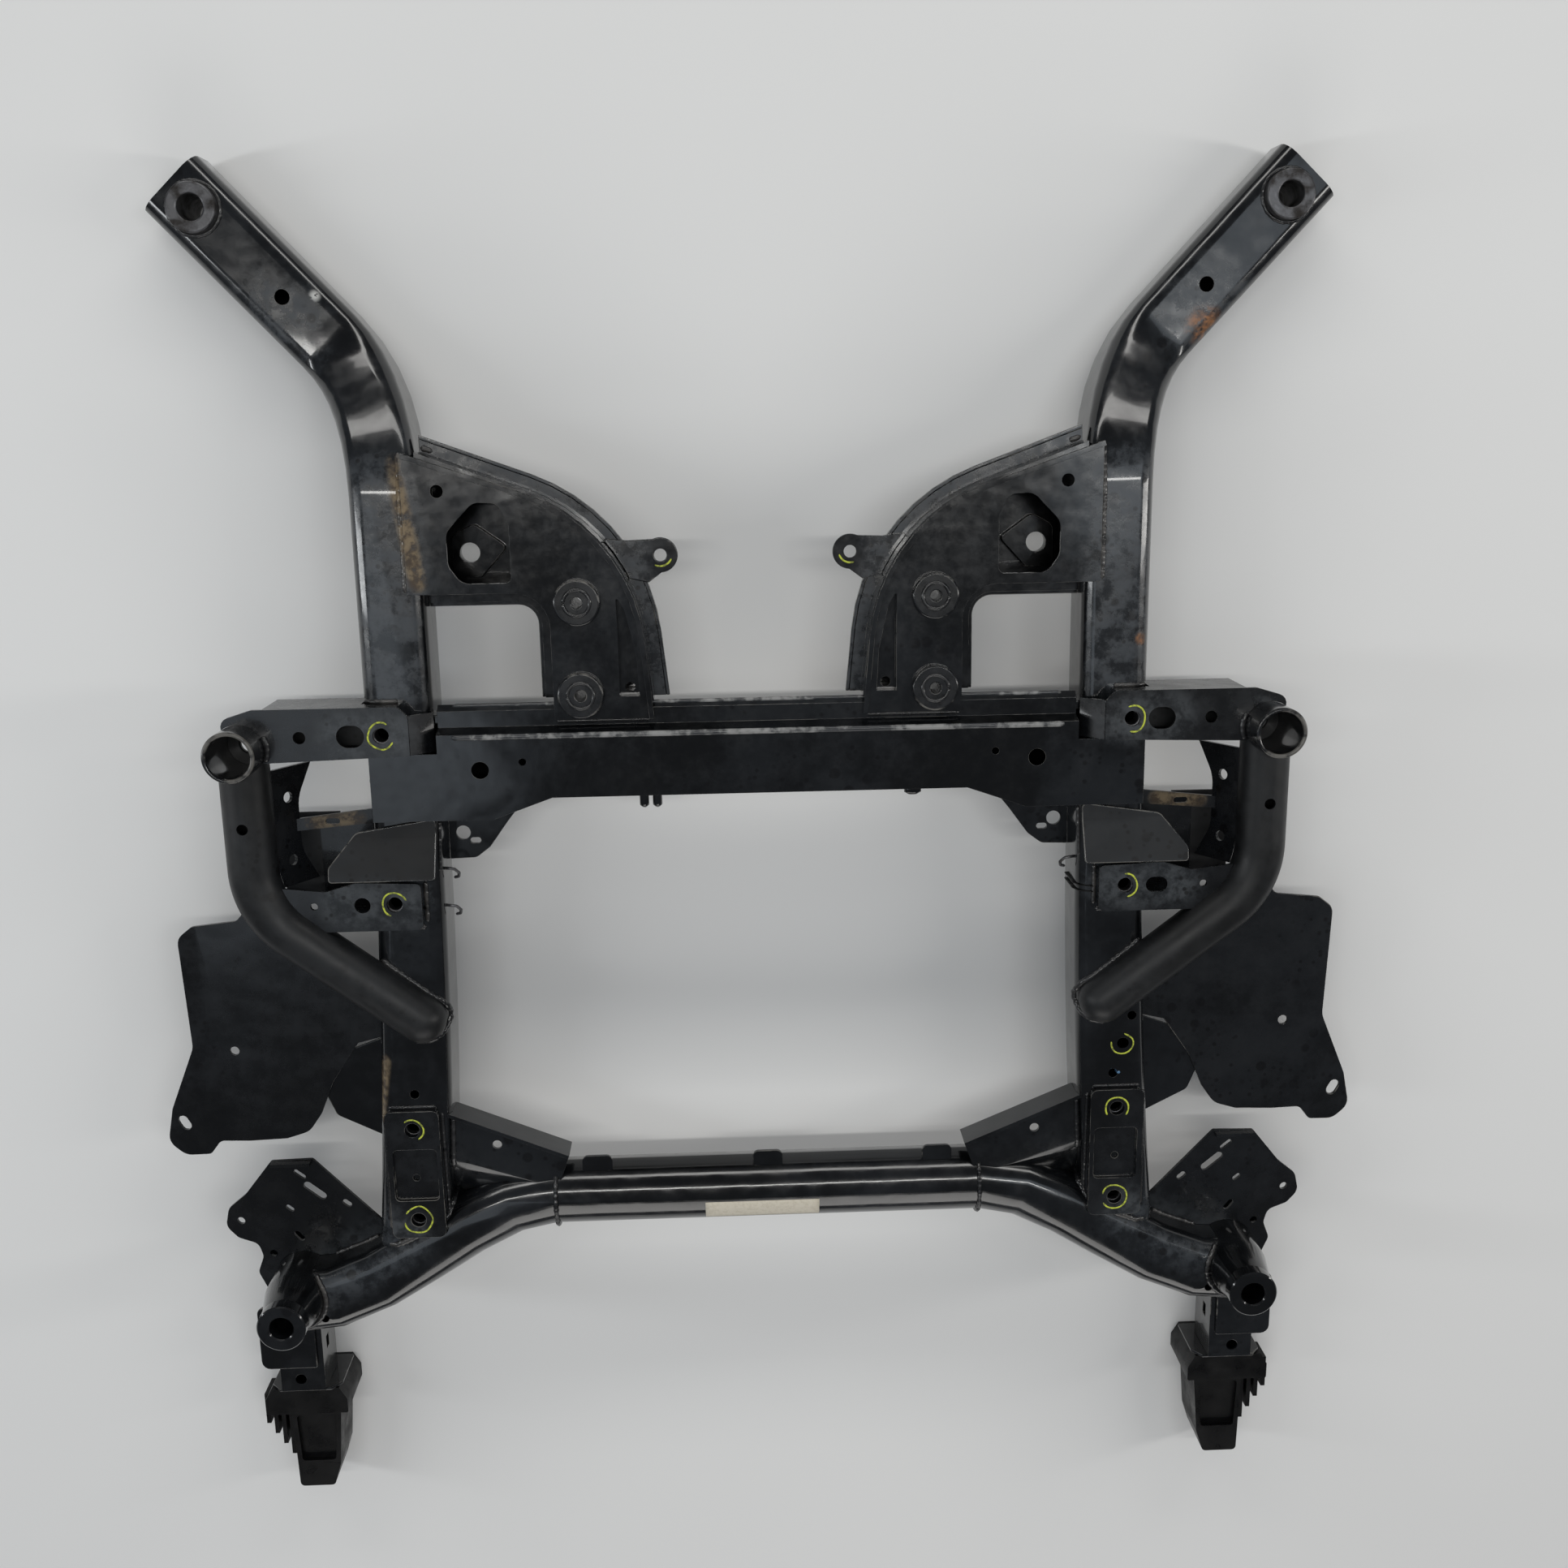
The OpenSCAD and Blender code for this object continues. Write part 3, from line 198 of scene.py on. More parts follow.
# Where the wear is, in millimetres; the dusty places are the same on both sides, and those along the panels'
# curved flanges are a painted highlight
RUST = [spot(369, 451, 52, 20), spot(-316, 393, 96, 7), spot(310, 205, 112, 7)]
TAN = [((-281, 360, 114), (-266, 262, 114), 10), ((-322, -140, 110), (-330, -190, 108), 8),
    ((-332, 68, 92), (-368, 65, 92), 9), ((332, 68, 92), (368, 65, 92), 9)]
CHIPS = [spot(-343, 484, 53, 7), spot(-222, 356, 114, 12), spot(-305, 440, 100, 6), spot(300, 424, 98, 6)]
DUST_AND_HIGHLIGHT = [
    ((292, UPPER_NUT_Y, 122), (330, UPPER_NUT_Y, 122), 30),
    ((292, LOWER_NUT_Y, 115), (340, LOWER_NUT_Y, 115), 32),
    ((290, 190, 112), (294, 330, 112), 45),
    # Lines along the panels' curved flanges: the lighter film here is a painted highlight for the bright
    # lines on the flange edges
    ((262, 372, 88), (178, 342, 88), 22),
    ((178, 342, 88), (104, 285, 88), 26),
    ((104, 285, 88), (78, 150, 88), 22),
    ((320, -300, 112), (395, -345, 104), 40),
    spot(375, 460, 60, 60),
]


def ecoat(name, base, faded, dust_and_highlight_colour, film_share, rough, gloss):
    """Black dip coat, faded in patches, with dust that lies on top, lighter film along the panels' curved
    flanges as a painted highlight, specks, rust and chips.
    """
    s = Shader(name)
    broad = s.noise(7, 4, 0.55, 0.3)
    fine = s.noise(120, 5, 0.65)
    patch = s.noise(45, 5, 0.7)
    colour = s.mix(s.span(s.math("ADD", broad, s.math("MULTIPLY", patch, 0.5)), 0.62, 0.9), base, faded)
    normal_z = s.node("ShaderNodeSeparateXYZ")
    s.feed(normal_z.inputs[0], s.node("ShaderNodeNewGeometry").outputs["Normal"])
    lying = s.span(normal_z.outputs["Z"], 0.3, 0.9)
    blotch = s.span(s.math("ADD", patch, s.math("MULTIPLY", fine, 0.6)), 0.66, 0.98, 0.2, 1.0)
    # Film: dust in broad patches and at the marked places; along the panels' flanges the marked film is a
    # painted highlight
    dust_and_highlight_film = s.math("ADD", s.math("MULTIPLY", s.span(broad, 0.4, 0.75), film_share),
        s.math("MULTIPLY", s.near(DUST_AND_HIGHLIGHT, s.mirrored()), blotch))
    dust_and_highlight_film = s.math("MULTIPLY", dust_and_highlight_film, lying)
    colour = s.mix(dust_and_highlight_film, colour, dust_and_highlight_colour)
    small = s.math("MULTIPLY", s.span(s.cells(120), 0.3, 0.16), s.span(s.noise(20, 3), 0.45, 0.56))
    large = s.math("MULTIPLY", s.span(s.cells(55), 0.3, 0.2), s.span(s.noise(13, 3), 0.52, 0.6))
    specks = s.math("MAXIMUM", small, large)
    colour = s.mix(s.math("MULTIPLY", specks, 0.9), colour, (0.002, 0.002, 0.0025))
    tan = s.math("MULTIPLY", s.near(TAN, s.place), s.span(s.noise(60, 6, 0.7), 0.3, 0.5))
    colour = s.mix(tan, colour, s.mix(s.span(fine, 0.4, 0.62), (0.045, 0.028, 0.014), (0.17, 0.125, 0.07)))
    rust = s.math("MULTIPLY", s.near(RUST, s.place), s.span(s.noise(95, 6, 0.7), 0.40, 0.56))
    colour = s.mix(rust, colour, s.mix(s.span(fine, 0.38, 0.6), (0.055, 0.025, 0.012), (0.25, 0.105, 0.035)))
    chip = s.math("MULTIPLY", s.near(CHIPS, s.place), s.span(s.noise(150, 3), 0.5, 0.56))
    colour = s.mix(chip, colour, (0.62, 0.62, 0.60))
    dull = s.math("MAXIMUM", s.math("MAXIMUM", rust, tan), s.math("MULTIPLY", dust_and_highlight_film, 0.6))
    grain = s.math("ADD", s.math("MULTIPLY", fine, 0.03), s.math("MULTIPLY", dull, 0.06))
    waves = s.math("MULTIPLY", s.noise(22, 2), 1.1)
    s.bump(s.math("ADD", grain, waves), 1.0)
    roughness = s.math("ADD", s.span(patch, 0.3, 0.75, rough, rough + 0.12), s.math("MULTIPLY", dull, 0.35))
    return s.set(Base_Color=colour, Roughness=roughness, Specular_IOR_Level=0.4, Coat_Weight=gloss,
        Coat_Roughness=0.06)


def rubbed_edge_and_highlight(name, base, bare_and_highlight):
    """The coat where handling has rubbed it thin along the edges; on the crossmember's folds the same
    lighter pattern is a painted highlight.
    """
    s = Shader(name)
    wear = s.math("ADD", s.noise(16, 4, 0.6), s.math("MULTIPLY", s.noise(150, 4), 0.45))
    # Patches where the coat is rubbed thin; on the crossmember's folds these lighter patches are a painted
    # highlight
    bared_and_lit = s.span(wear, 0.68, 0.86)
    return s.set(Base_Color=s.mix(bared_and_lit, base, bare_and_highlight), Roughness=s.span(bared_and_lit, 0, 1, 0.2, 0.42))


def steel(name, base, stain, rough):
    """Bare metal with stains."""
    s = Shader(name)
    spread = s.noise(70, 5, 0.6)
    s.bump(s.noise(400, 3), 0.12)
    return s.set(Base_Color=s.mix(s.span(spread, 0.42, 0.68), base, stain), Metallic=0.85,
        Roughness=s.span(spread, 0.3, 0.7, rough, rough + 0.25))


def moulded(name, base, scuffed, rough):
    """Black plastic, scuffed in places."""
    s = Shader(name)
    spread = s.noise(45, 6, 0.65)
    s.bump(s.noise(900, 2), 0.1)
    return s.set(Base_Color=s.mix(s.span(spread, 0.55, 0.8), base, scuffed),
        Roughness=s.span(spread, 0.3, 0.75, rough, rough + 0.3), Specular_IOR_Level=0.2)


def paint(name, base, thin):
    """Flat colour that is thin in places."""
    s = Shader(name)
    spread = s.noise(260, 4, 0.7)
    return s.set(Base_Color=s.mix(s.span(spread, 0.45, 0.62), base, thin), Roughness=0.5)


FINISHES = {
    "ecoat_black": ecoat("ecoat_black", (0.0018, 0.002, 0.0023), (0.006, 0.0068, 0.008),
        (0.034, 0.039, 0.045), 0.12, 0.13, 0.5),
    "ecoat_worn": ecoat("ecoat_worn", (0.0022, 0.0024, 0.0028), (0.0065, 0.0073, 0.0088),
        (0.038, 0.043, 0.048), 0.08, 0.22, 0.25),
    "bare_steel": steel("bare_steel", (0.11, 0.11, 0.115), (0.03, 0.027, 0.025), 0.32),
    "black_plastic": moulded("black_plastic", (0.0018, 0.0018, 0.002), (0.007, 0.007, 0.0075), 0.24),
}
DULL = ecoat("ecoat_dull", (0.0025, 0.0027, 0.003), (0.0075, 0.0083, 0.0095),
    (0.03, 0.033, 0.036), 0.1, 0.4, 0.0)
MATT = ecoat("ecoat_matt", (0.0016, 0.0018, 0.0021), (0.008, 0.0092, 0.011),
    (0.03, 0.034, 0.038), 0.1, 0.6, 0.0)
EDGE = rubbed_edge_and_highlight("ecoat_edge", (0.006, 0.0065, 0.0075), (0.11, 0.105, 0.095))
# Light patchy finish for the crossmember's folds: a painted highlight that stands in for the bright
# reflected lines along them
FOLD_HIGHLIGHT = rubbed_edge_and_highlight("ecoat_fold", (0.03, 0.032, 0.035), (0.24, 0.24, 0.235))
WELD = ecoat("weld", (0.006, 0.0062, 0.007), (0.013, 0.0135, 0.015), (0.07, 0.066, 0.062), 0.3, 0.22, 0.3)
YELLOW = paint("paint_yellow", (0.50, 0.56, 0.05), (0.16, 0.18, 0.03))
BLUE = paint("paint_blue", (0.10, 0.22, 0.38), (0.03, 0.06, 0.10))
CREAM = paint("blank_label", (0.62, 0.57, 0.47), (0.55, 0.50, 0.40))


# CAD nodes: finish, softened edges and smooth curved faces

SHARP_ANGLE = 32


def smoother():
    """Modifier group that shades everything smooth except across sharp edges."""
    group = bpy.data.node_groups.new("smooth_by_angle", "GeometryNodeTree")
    group.interface.new_socket("Geometry", in_out="INPUT", socket_type="NodeSocketGeometry")
    group.interface.new_socket("Geometry", in_out="OUTPUT", socket_type="NodeSocketGeometry")
    begin = group.nodes.new("NodeGroupInput")
    end = group.nodes.new("NodeGroupOutput")
    plain = group.nodes.new("GeometryNodeRemoveAttribute")
    plain.inputs["Name"].default_value = "custom_normal"
    faces = group.nodes.new("GeometryNodeSetShadeSmooth")
    edges = group.nodes.new("GeometryNodeSetShadeSmooth")
    edges.domain = "EDGE"
    angle = group.nodes.new("GeometryNodeInputMeshEdgeAngle")
    blunt = group.nodes.new("FunctionNodeCompare")
    blunt.operation = "LESS_THAN"
    blunt.inputs["B"].default_value = math.radians(SHARP_ANGLE)
    link = group.links.new
    link(begin.outputs[0], plain.inputs["Geometry"])
    link(plain.outputs[0], faces.inputs["Geometry"])
    link(faces.outputs[0], edges.inputs["Geometry"])
    link(angle.outputs["Unsigned Angle"], blunt.inputs["A"])
    link(blunt.outputs["Result"], edges.inputs["Shade Smooth"])
    link(edges.outputs[0], end.inputs[0])
    return group


SMOOTH = smoother()
slots = {part["node"]: part["material_slot"] for part in frame["record"]["subparts"]}
for name, node in nodes.items():
    finish = FINISHES[slots[name]]
    node.data.materials.clear()
    node.data.materials.append(MATT if name.startswith("web_plate") else finish)
    node.data.materials.append(EDGE if slots[name].startswith("ecoat") else finish)
    weld = node.modifiers.new("weld", "WELD")
    weld.merge_threshold = 0.00002
    flats = node.modifiers.new("whole_flats", "DECIMATE")
    flats.decimate_type = "DISSOLVE"
    flats.angle_limit = math.radians(0.4)
    bevel = node.modifiers.new("soft_edges", "BEVEL")
    bevel.width = 0.0009
    bevel.segments = 2
    bevel.angle_limit = math.radians(38)
    bevel.use_clamp_overlap = True
    bevel.material = 1
    node.modifiers.new("smooth", "NODES").node_group = SMOOTH
    level = node.modifiers.new("level_faces", "WEIGHTED_NORMAL")
    level.keep_sharp = True
    level.weight = 80


# Finding the solids' surfaces

ABOVE = 220


def tree_of(*names):
    """Search tree of the named nodes' faces."""
    points, faces = [], []
    for name in names:
        first = len(points)
        points += [v.co.copy() for v in nodes[name].data.vertices]
        faces += [[first + i for i in p.vertices] for p in nodes[name].data.polygons]
    return BVHTree.FromPolygons(points, faces)


ALL = tree_of(*nodes)


def drop(x, y, tree=ALL):
    """Point on the solids straight below (x, y), in metres, or None."""
    return tree.ray_cast(metres(x, y, ABOVE), DOWN)[0]


def line(a, b, step=3):
    """Points from a to b about step apart."""
    a, b = Vector(a), Vector(b)
    count = max(int((b - a).length / step), 1)
    return [a.lerp(b, k / count) for k in range(count + 1)]


def circle(centre, radius, start=0, end=360, step=3):
    """Points of an arc about step apart; angles are in degrees."""
    count = max(int(math.radians(end - start) * radius / step), 6)
    angles = [math.radians(start + (end - start) * k / count) for k in range(count + 1)]
    return [Vector((centre[0] + radius * math.cos(a), centre[1] + radius * math.sin(a))) for a in angles]


def dropped(points, tree=ALL):
    """The points of a plan line laid down on the solids."""
    return [p for p in (drop(q.x, q.y, tree) for q in points) if p]


def cast(points, direction, tree):
    """The points pushed along a direction until they meet the solids."""
    hits = [tree.ray_cast(p, direction)[0] for p in points]
    return [p for p in hits if p]


# Meshes

class Sketch:
    """Collects swept shapes into one mesh."""

    def __init__(self):
        self.points = []
        self.faces = []

    def sweep(self, path, across, up, ripple=0.0, sides=8, spacing=1.4, seed=0, normal=UP):
        """Elliptical section along a path in metres; sizes are in millimetres."""
        path = resample(path, spacing / 1000)
        if len(path) < 2:
            return
        first = len(self.points)
        for k, p in enumerate(path):
            along = (path[min(k + 1, len(path) - 1)] - path[max(k - 1, 0)]).normalized()
            side = along.cross(normal)
            side = side.normalized() if side.length > 0.05 else along.orthogonal().normalized()
            top = side.cross(along)
            wave = abs(math.sin(k * 0.9 + noise.noise((k * 0.07, seed, 0.3)) * 2))
            grow = 1 - ripple + ripple * wave + ripple * noise.noise((k * 0.31, seed, 1.7))
            grow *= 0.45 if k in (0, len(path) - 1) else 1
            for i in range(sides):
                a = math.tau * i / sides
                offset = side * (across * math.cos(a)) + top * (up * math.sin(a))
                self.points.append(p + offset * grow / 1000)
            if k:
                row = first + k * sides
                for i in range(sides):
                    j = (i + 1) % sides
                    self.faces.append((row - sides + i, row - sides + j, row + j, row + i))
        last = first + (len(path) - 1) * sides
        self.faces.append(tuple(first + i for i in reversed(range(sides))))
        self.faces.append(tuple(last + i for i in range(sides)))

    def piece(self, name, material, slot):
        """The mesh as an object that rides on the part."""
        mesh = bpy.data.meshes.new(name)
        mesh.from_pydata(self.points, [], self.faces)
        mesh.materials.append(material)
        mesh.shade_smooth()
        made = bpy.data.objects.new(name, mesh)
        scene.collection.objects.link(made)
        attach(made, "root")
        return made


def resample(path, step):
    """The path with points at an even spacing."""
    path = [p.copy() for p in path]
    if len(path) < 2:
        return path
    lengths = [(b - a).length for a, b in zip(path, path[1:])]
    count = max(int(sum(lengths) / step), 2)
    result, k, passed = [], 0, 0.0
    for n in range(count + 1):
        goal = sum(lengths) * n / count
        while k < len(lengths) - 1 and passed + lengths[k] < goal:
            passed += lengths[k]
            k += 1
        result.append(path[k].lerp(path[k + 1], (goal - passed) / max(lengths[k], 1e-9)))
    return result


# Weld beads where the pressings and tubes meet

# Straight seams in plan on the right side: start, end, half width, and the solids they lie on
SEAMS = (
    ((276, 254), (276, 360), 2.6, "members"),
    ((252, 362), (264, 366), 2.4, "all"),
    ((260.5, 128), (260.5, 156), 2.2, "members"),
    ((288, 167.5), (316, 167.5), 2.2, "members"),
    ((314, 76), (314, 122), 2.2, "members"),
    ((278, -21.5), (316, -21.5), 2.6, "members"),
    ((276.6, -17), (276.6, 17), 2.2, "members"),
    ((265, 24), (263.6, 66), 2.0, "members"),
    ((SEAT_X - 24.4, SEAT_Y + 12), (SEAT_X - 24.4, SEAT_Y - SEAT_PITCH - 10), 2.0, "members"),
    ((SEAT_X + 24.4, SEAT_Y + 12), (SEAT_X + 24.4, SEAT_Y - SEAT_PITCH - 10), 2.0, "members"),
    ((SEAT_X - 20, SEAT_Y + 18.4), (SEAT_X + 20, SEAT_Y + 18.4), 2.0, "members"),
    ((88, 148.6), (162, 148.6), 2.0, "all"),
)
LEG_SEAM = 56
TUBE_COLLAR_X = 184


def leg_joint(side, word):
    """Outline of a leg's rounded end on its rail."""
    along = (Vector(LEG_END) - Vector(LEG_CORNER)).xy.normalized()
    across = along.orthogonal()
    end = Vector(LEG_END[:2])
    half = math.sqrt(LEG_R**2 - (LEG_END[2] - RAIL_Z - RAIL_H / 2)**2) + 0.8
    angles = [math.pi * k / 20 for k in range(21)]
    turn = [(along * math.sin(a) + across * math.cos(a)) * half for a in angles]
    back = along * LEG_SEAM
    plan = [end + across * half - back] + [end + t for t in turn] + [end - across * half - back]
    points = []
    for a, b in zip(plan, plan[1:]):
        points += line(a, b)
    return dropped([Vector((side * p.x, p.y)) for p in points], tree_of("front_rail_" + word))


def tube_joint(side):
    """Seam where a rail's end is coped to the front tube."""
    tube = tree_of("front_tube")
    middle, half = rail_at(-270)
    outline = [(-half, -24), (-half, 18), (-half + 4, 27), (-half + 13, RAIL_H / 2),
        (half - 13, RAIL_H / 2), (half - 4, 27), (half, 18), (half, -24)]
    points = []
    for a, b in zip(outline, outline[1:]):
        points += line(a, b)
    return cast([metres(side * (middle + p.x), -262, RAIL_Z + p.y) for p in points], FORWARD, tube)


for side, word in SIDES:
    beads = Sketch()
    tube = tree_of("front_tube")
    arm = tree_of("rear_arm_" + word)
    bracket = tree_of("upper_bracket_" + word)
    trees = {"members": tree_of("front_rail_" + word, "rear_arm_" + word), "all": ALL}
    inward = Vector((-side, 0, 0))

    def lay(points, size, tree, ripple=0.22):
        """One bead along a plan line of the right side."""
        path = dropped([Vector((side * p[0], p[1])) for p in points], tree)
        beads.sweep(path, size, size * 0.75, ripple, seed=len(beads.points) * 0.01 + side)

    for start, end, size, under in SEAMS:
        lay(line(start, end), size, trees[under])
    for collar in COLLARS:
        lay(circle(collar, 10.5), 1.5, tree_of("mount_collars"), 0)
    lay(line((268.5, -196), (271, -244)), 2.4, tree_of("brace_" + word))
    lay(circle(REAR_MOUNT, 20.6), 2.0, arm)
    lay(circle(MIDDLE_MOUNT, 22.3, 150, 262), 2.6, bracket)
    lay(circle(FRONT_MOUNT, 27.2, 100, 262), 2.6, tube)
    beads.sweep(leg_joint(side, word), 3.0, 2.6, 0.2, seed=3 + side)
    beads.sweep(tube_joint(side), 3.2, 2.6, 0.25, seed=5 + side)
    around = circle((0, 0), TUBE_R + 0.4)
    beads.sweep([metres(side * TUBE_COLLAR_X, TUBE_Y + p.x, TUBE_Z + p.y) for p in around],
        3.0, 2.2, 0.3, seed=7 + side, normal=Vector((1, 0, 0)))
    horn = [metres(side * x, -284, 84.4) for x in range(344, 386, 3)]
    beads.sweep(cast(horn, FORWARD, tube), 2.4, 2.0, 0.25, seed=9 + side)
    wing = [metres(side * 372, y, 69.4) for y in range(-228, -138, 3)]
    beads.sweep(cast(wing, inward, trees["members"]), 2.6, 2.2, 0.25, seed=11 + side)
    fold = [metres(side * 372, y, 73.4) for y in range(-126, -98, 3)]
    beads.sweep(cast(fold, inward, trees["members"]), 2.4, 2.0, 0.25, seed=13 + side)
    beads.piece("weld_beads_" + word, WELD, "ecoat_black")


# Legs: the tubes with their rounded ends lying on the rails

def leg_path():
    """Centre line and radius factor of the right leg, from its sleeve to its rounded end."""
    start = Vector((*MIDDLE_MOUNT, LEG_CORNER[2]))
    corner = Vector(LEG_CORNER)
    end = Vector(LEG_END)
    ahead = (corner - start).normalized()
    onward = (end - corner).normalized()
    turn = ahead.angle(onward)
    aside = (onward - ahead * ahead.dot(onward)).normalized()
    begin = corner - ahead * LEG_BEND * math.tan(turn / 2)
    path = [(start, 1), (start + ahead * (MIDDLE_SLEEVE_R + 2), 1)]
    for k in range(17):
        a = turn * k / 16
        path.append((begin + (ahead * math.sin(a) + aside * (1 - math.cos(a))) * LEG_BEND, 1))
    for k in range(8):
        a = math.radians(84) * k / 7
        path.append((end + onward * LEG_R * math.sin(a), math.cos(a)))
    return path


def leg_skin(side, radius, sides=48):
    """Rings of points round the leg; the first is coped to the middle mount's sleeve."""
    path = leg_path()
    rings = []
    for k, (p, factor) in enumerate(path):
        along = (path[min(k + 1, len(path) - 1)][0] - path[max(k - 1, 0)][0]).normalized()
        across = along.cross(UP).normalized()
        above = across.cross(along)
        ring = []
        for i in range(sides):
            a = math.tau * i / sides
            q = p + (across * math.cos(a) + above * math.sin(a)) * radius * factor
            if k == 0:
                q.y = MIDDLE_MOUNT[1] - math.sqrt(MIDDLE_SLEEVE_R**2 - (q.x - MIDDLE_MOUNT[0])**2)
            ring.append(metres(side * q.x, q.y, q.z))
        rings.append(ring)
    return rings


def drill(piece, x, y, low, high, radius):
    """Cuts an upright hole through a piece."""
    shape = bmesh.new()
    bmesh.ops.create_cone(shape, cap_ends=True, segments=32, radius1=radius / 1000, radius2=radius / 1000,
        depth=(high - low) / 1000, matrix=Matrix.Translation(metres(x, y, (low + high) / 2)))
    mesh = bpy.data.meshes.new("drill")
    shape.to_mesh(mesh)
    shape.free()
    cutter = bpy.data.objects.new("drill", mesh)
    scene.collection.objects.link(cutter)
    hole = piece.modifiers.new("hole", "BOOLEAN")
    hole.solver = "EXACT"
    hole.object = cutter
    whole = piece.evaluated_get(bpy.context.evaluated_depsgraph_get())
    piece.data = bpy.data.meshes.new_from_object(whole)
    piece.modifiers.clear()
    bpy.data.objects.remove(cutter)


def leg(side, word):
    """Hollow leg in place of the solid one."""
    rings = leg_skin(side, LEG_R)[::-1] + leg_skin(side, LEG_R - LEG_WALL)
    sides = len(rings[0])
    tube = Sketch()
    tube.points = [p for ring in rings for p in ring]
    for k in range(len(rings) - 1):
        row = k * sides
        for i in range(sides):
            j = (i + 1) % sides
            tube.faces.append((row + i, row + sides + i, row + sides + j, row + j)[::side])
    last = (len(rings) - 1) * sides
    tube.faces.append(tuple(range(sides))[::side])
    tube.faces.append(tuple(range(last, last + sides))[::-side])
    made = tube.piece("leg_tube_" + word, DULL, "ecoat_black")
    drill(made, side * MIDDLE_MOUNT[0], LEG_HOLE_Y, LEG_CORNER[2] + 5, LEG_CORNER[2] + 30, LEG_HOLE_R)
    made.modifiers.new("smooth", "NODES").node_group = SMOOTH
    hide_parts("leg_" + word)


for side, word in SIDES:
    leg(side, word)


# Dark plates under the bracket boxes and dark rings at the foot of the middle sleeves, which hide the floor
# seen through them: painted shade

def slab(sketch, outline, low, high):
    """Flat plate with a plan outline, between two heights."""
    first, count = len(sketch.points), len(outline)
    sketch.points += [metres(x, y, z) for z in (low, high) for x, y in outline]
    sketch.faces.append(tuple(first + i for i in reversed(range(count))))
    sketch.faces.append(tuple(first + count + i for i in range(count)))
    for i in range(count):
        j = (i + 1) % count
        sketch.faces.append((first + i, first + j, first + count + j, first + count + i))


def ring(sketch, centre, profile, sides=40):
    """Solid of revolution round an upright axis; the profile is a closed loop of (radius, height)."""
    first, count = len(sketch.points), len(profile)
    for k in range(sides):
        a = math.tau * k / sides
        for r, z in profile:
            sketch.points.append(metres(centre[0] + r * math.cos(a), centre[1] + r * math.sin(a), z))
        for i in range(count):
            j = (i + 1) % count
            here, ahead = first + k * count, first + (k + 1) % sides * count
            sketch.faces.append((here + i, ahead + i, ahead + j, here + j))


# Plan outline, lower and upper face of each plate; radius and height round the dark shade ring at each
# sleeve's foot
SHADE_PLATES = (
    ([(319, 128), (389, 128), (389, 164), (319, 164)], 99, 101),
    ([(354, -8), (404, -8), (404, 34), (392, 66), (354, 66)], 58.8, 60.8),
)
SLEEVE_SHADE_RING = [(7, 98), (16.9, 98), (16.9, 102), (8, 102), (7, 101)]
# Dark sheets put where only shade is seen: painted shade
for side, word in SIDES:
    shade_pieces = Sketch()
    for outline, low, high in SHADE_PLATES:
        slab(shade_pieces, [(side * x, y) for x, y in outline][::side], low, high)
    ring(shade_pieces, (side * MIDDLE_MOUNT[0], MIDDLE_MOUNT[1]), SLEEVE_SHADE_RING)
    made = shade_pieces.piece("bracket_shade_plates_" + word, DULL, "ecoat_worn")
    made.modifiers.new("smooth", "NODES").node_group = SMOOTH


# Rounded folds of the crossmember's top, in a light patchy finish that is a painted highlight along them

fold_highlights = Sketch()
top = tree_of("crossmember_upper", "crossmember_lower")
for y, size in ((CROSS_RIDGE, 2.4), (CROSS_REAR, 1.8)):
    fold_highlights.sweep(dropped(line((-246, y), (246, y)), top), size, size * 0.8, 0, 10, 3.0)
fold_highlights.piece("crossmember_folds_painted_highlight", FOLD_HIGHLIGHT, "ecoat_black")


# Paint-pen marks round the nuts and on the ears

# Centre, radius, and the angles where each ring starts and ends
RINGS = (
    (LEFT * NUT_X, UPPER_NUT_Y, 10.5, 60, 330),
    (RIGHT * NUT_X, UPPER_NUT_Y, 10.5, -100, 110),
    (LEFT * NUT_X, LOWER_NUT_Y, 10, 20, 250),
    (RIGHT * NUT_X, LOWER_NUT_Y, 10, -80, 95),
    (LEFT * SEAT_X, SEAT_Y, 9.5, -60, 130),
    (LEFT * SEAT_X, SEAT_Y - SEAT_PITCH, 12, -170, 150),
    (RIGHT * SEAT_X, SEAT_Y, 10, -40, 215),
    (RIGHT * SEAT_X, SEAT_Y - SEAT_PITCH, 11, -150, 165),
    (305, -143, 9.5, -190, 80),
    (LEFT * EAR[0], EAR[1], 9, -120, -20),
    (RIGHT * EAR[0], EAR[1], 9, 195, 290),
)
marks = Sketch()
for k, (x, y, radius, start, end) in enumerate(RINGS):
    centre = Vector((x, y))
    wobble = []
    for i, p in enumerate(circle((x, y), radius, start, end, 1.5)):
        wobble.append(centre + (p - centre) * (1 + 0.12 * noise.noise((i * 0.13, k, 0))))
    marks.sweep(dropped(wobble), 0.8, 0.22, 0.15, 6, 1.2, seed=k)
marks.piece("paint_marks", YELLOW, "ecoat_worn")

dash = Sketch()
dash.sweep(dropped(line((296, -166), (304, -170), 1)), 1.6, 0.25, 0.2, 6, 1.0)
dash.piece("paint_dash", BLUE, "ecoat_worn")


# Wire clips on the rails' inner edges, studs and a tab on the crossmember, band round the right rail

# Each clip's side and place along the rail; the hook's reach inward, step forward and height
CLIPS = ((LEFT, 24), (LEFT, -8), (RIGHT, 20))
HOOK = ((-1, 0, 96), (4, 0, 98), (8, 1, 97), (11, 5, 94), (10, 9, 91), (6, 10, 90))
clips = Sketch()
for side, y in CLIPS:
    middle, half = rail_at(y)
    wall = side * (middle - half)
    clips.sweep([metres(wall - side * out, y - back, z) for out, back, z in HOOK], 1.3, 1.3, 0, 8, 1.0)
clips.piece("wire_clips", FINISHES["bare_steel"], "bare_steel")

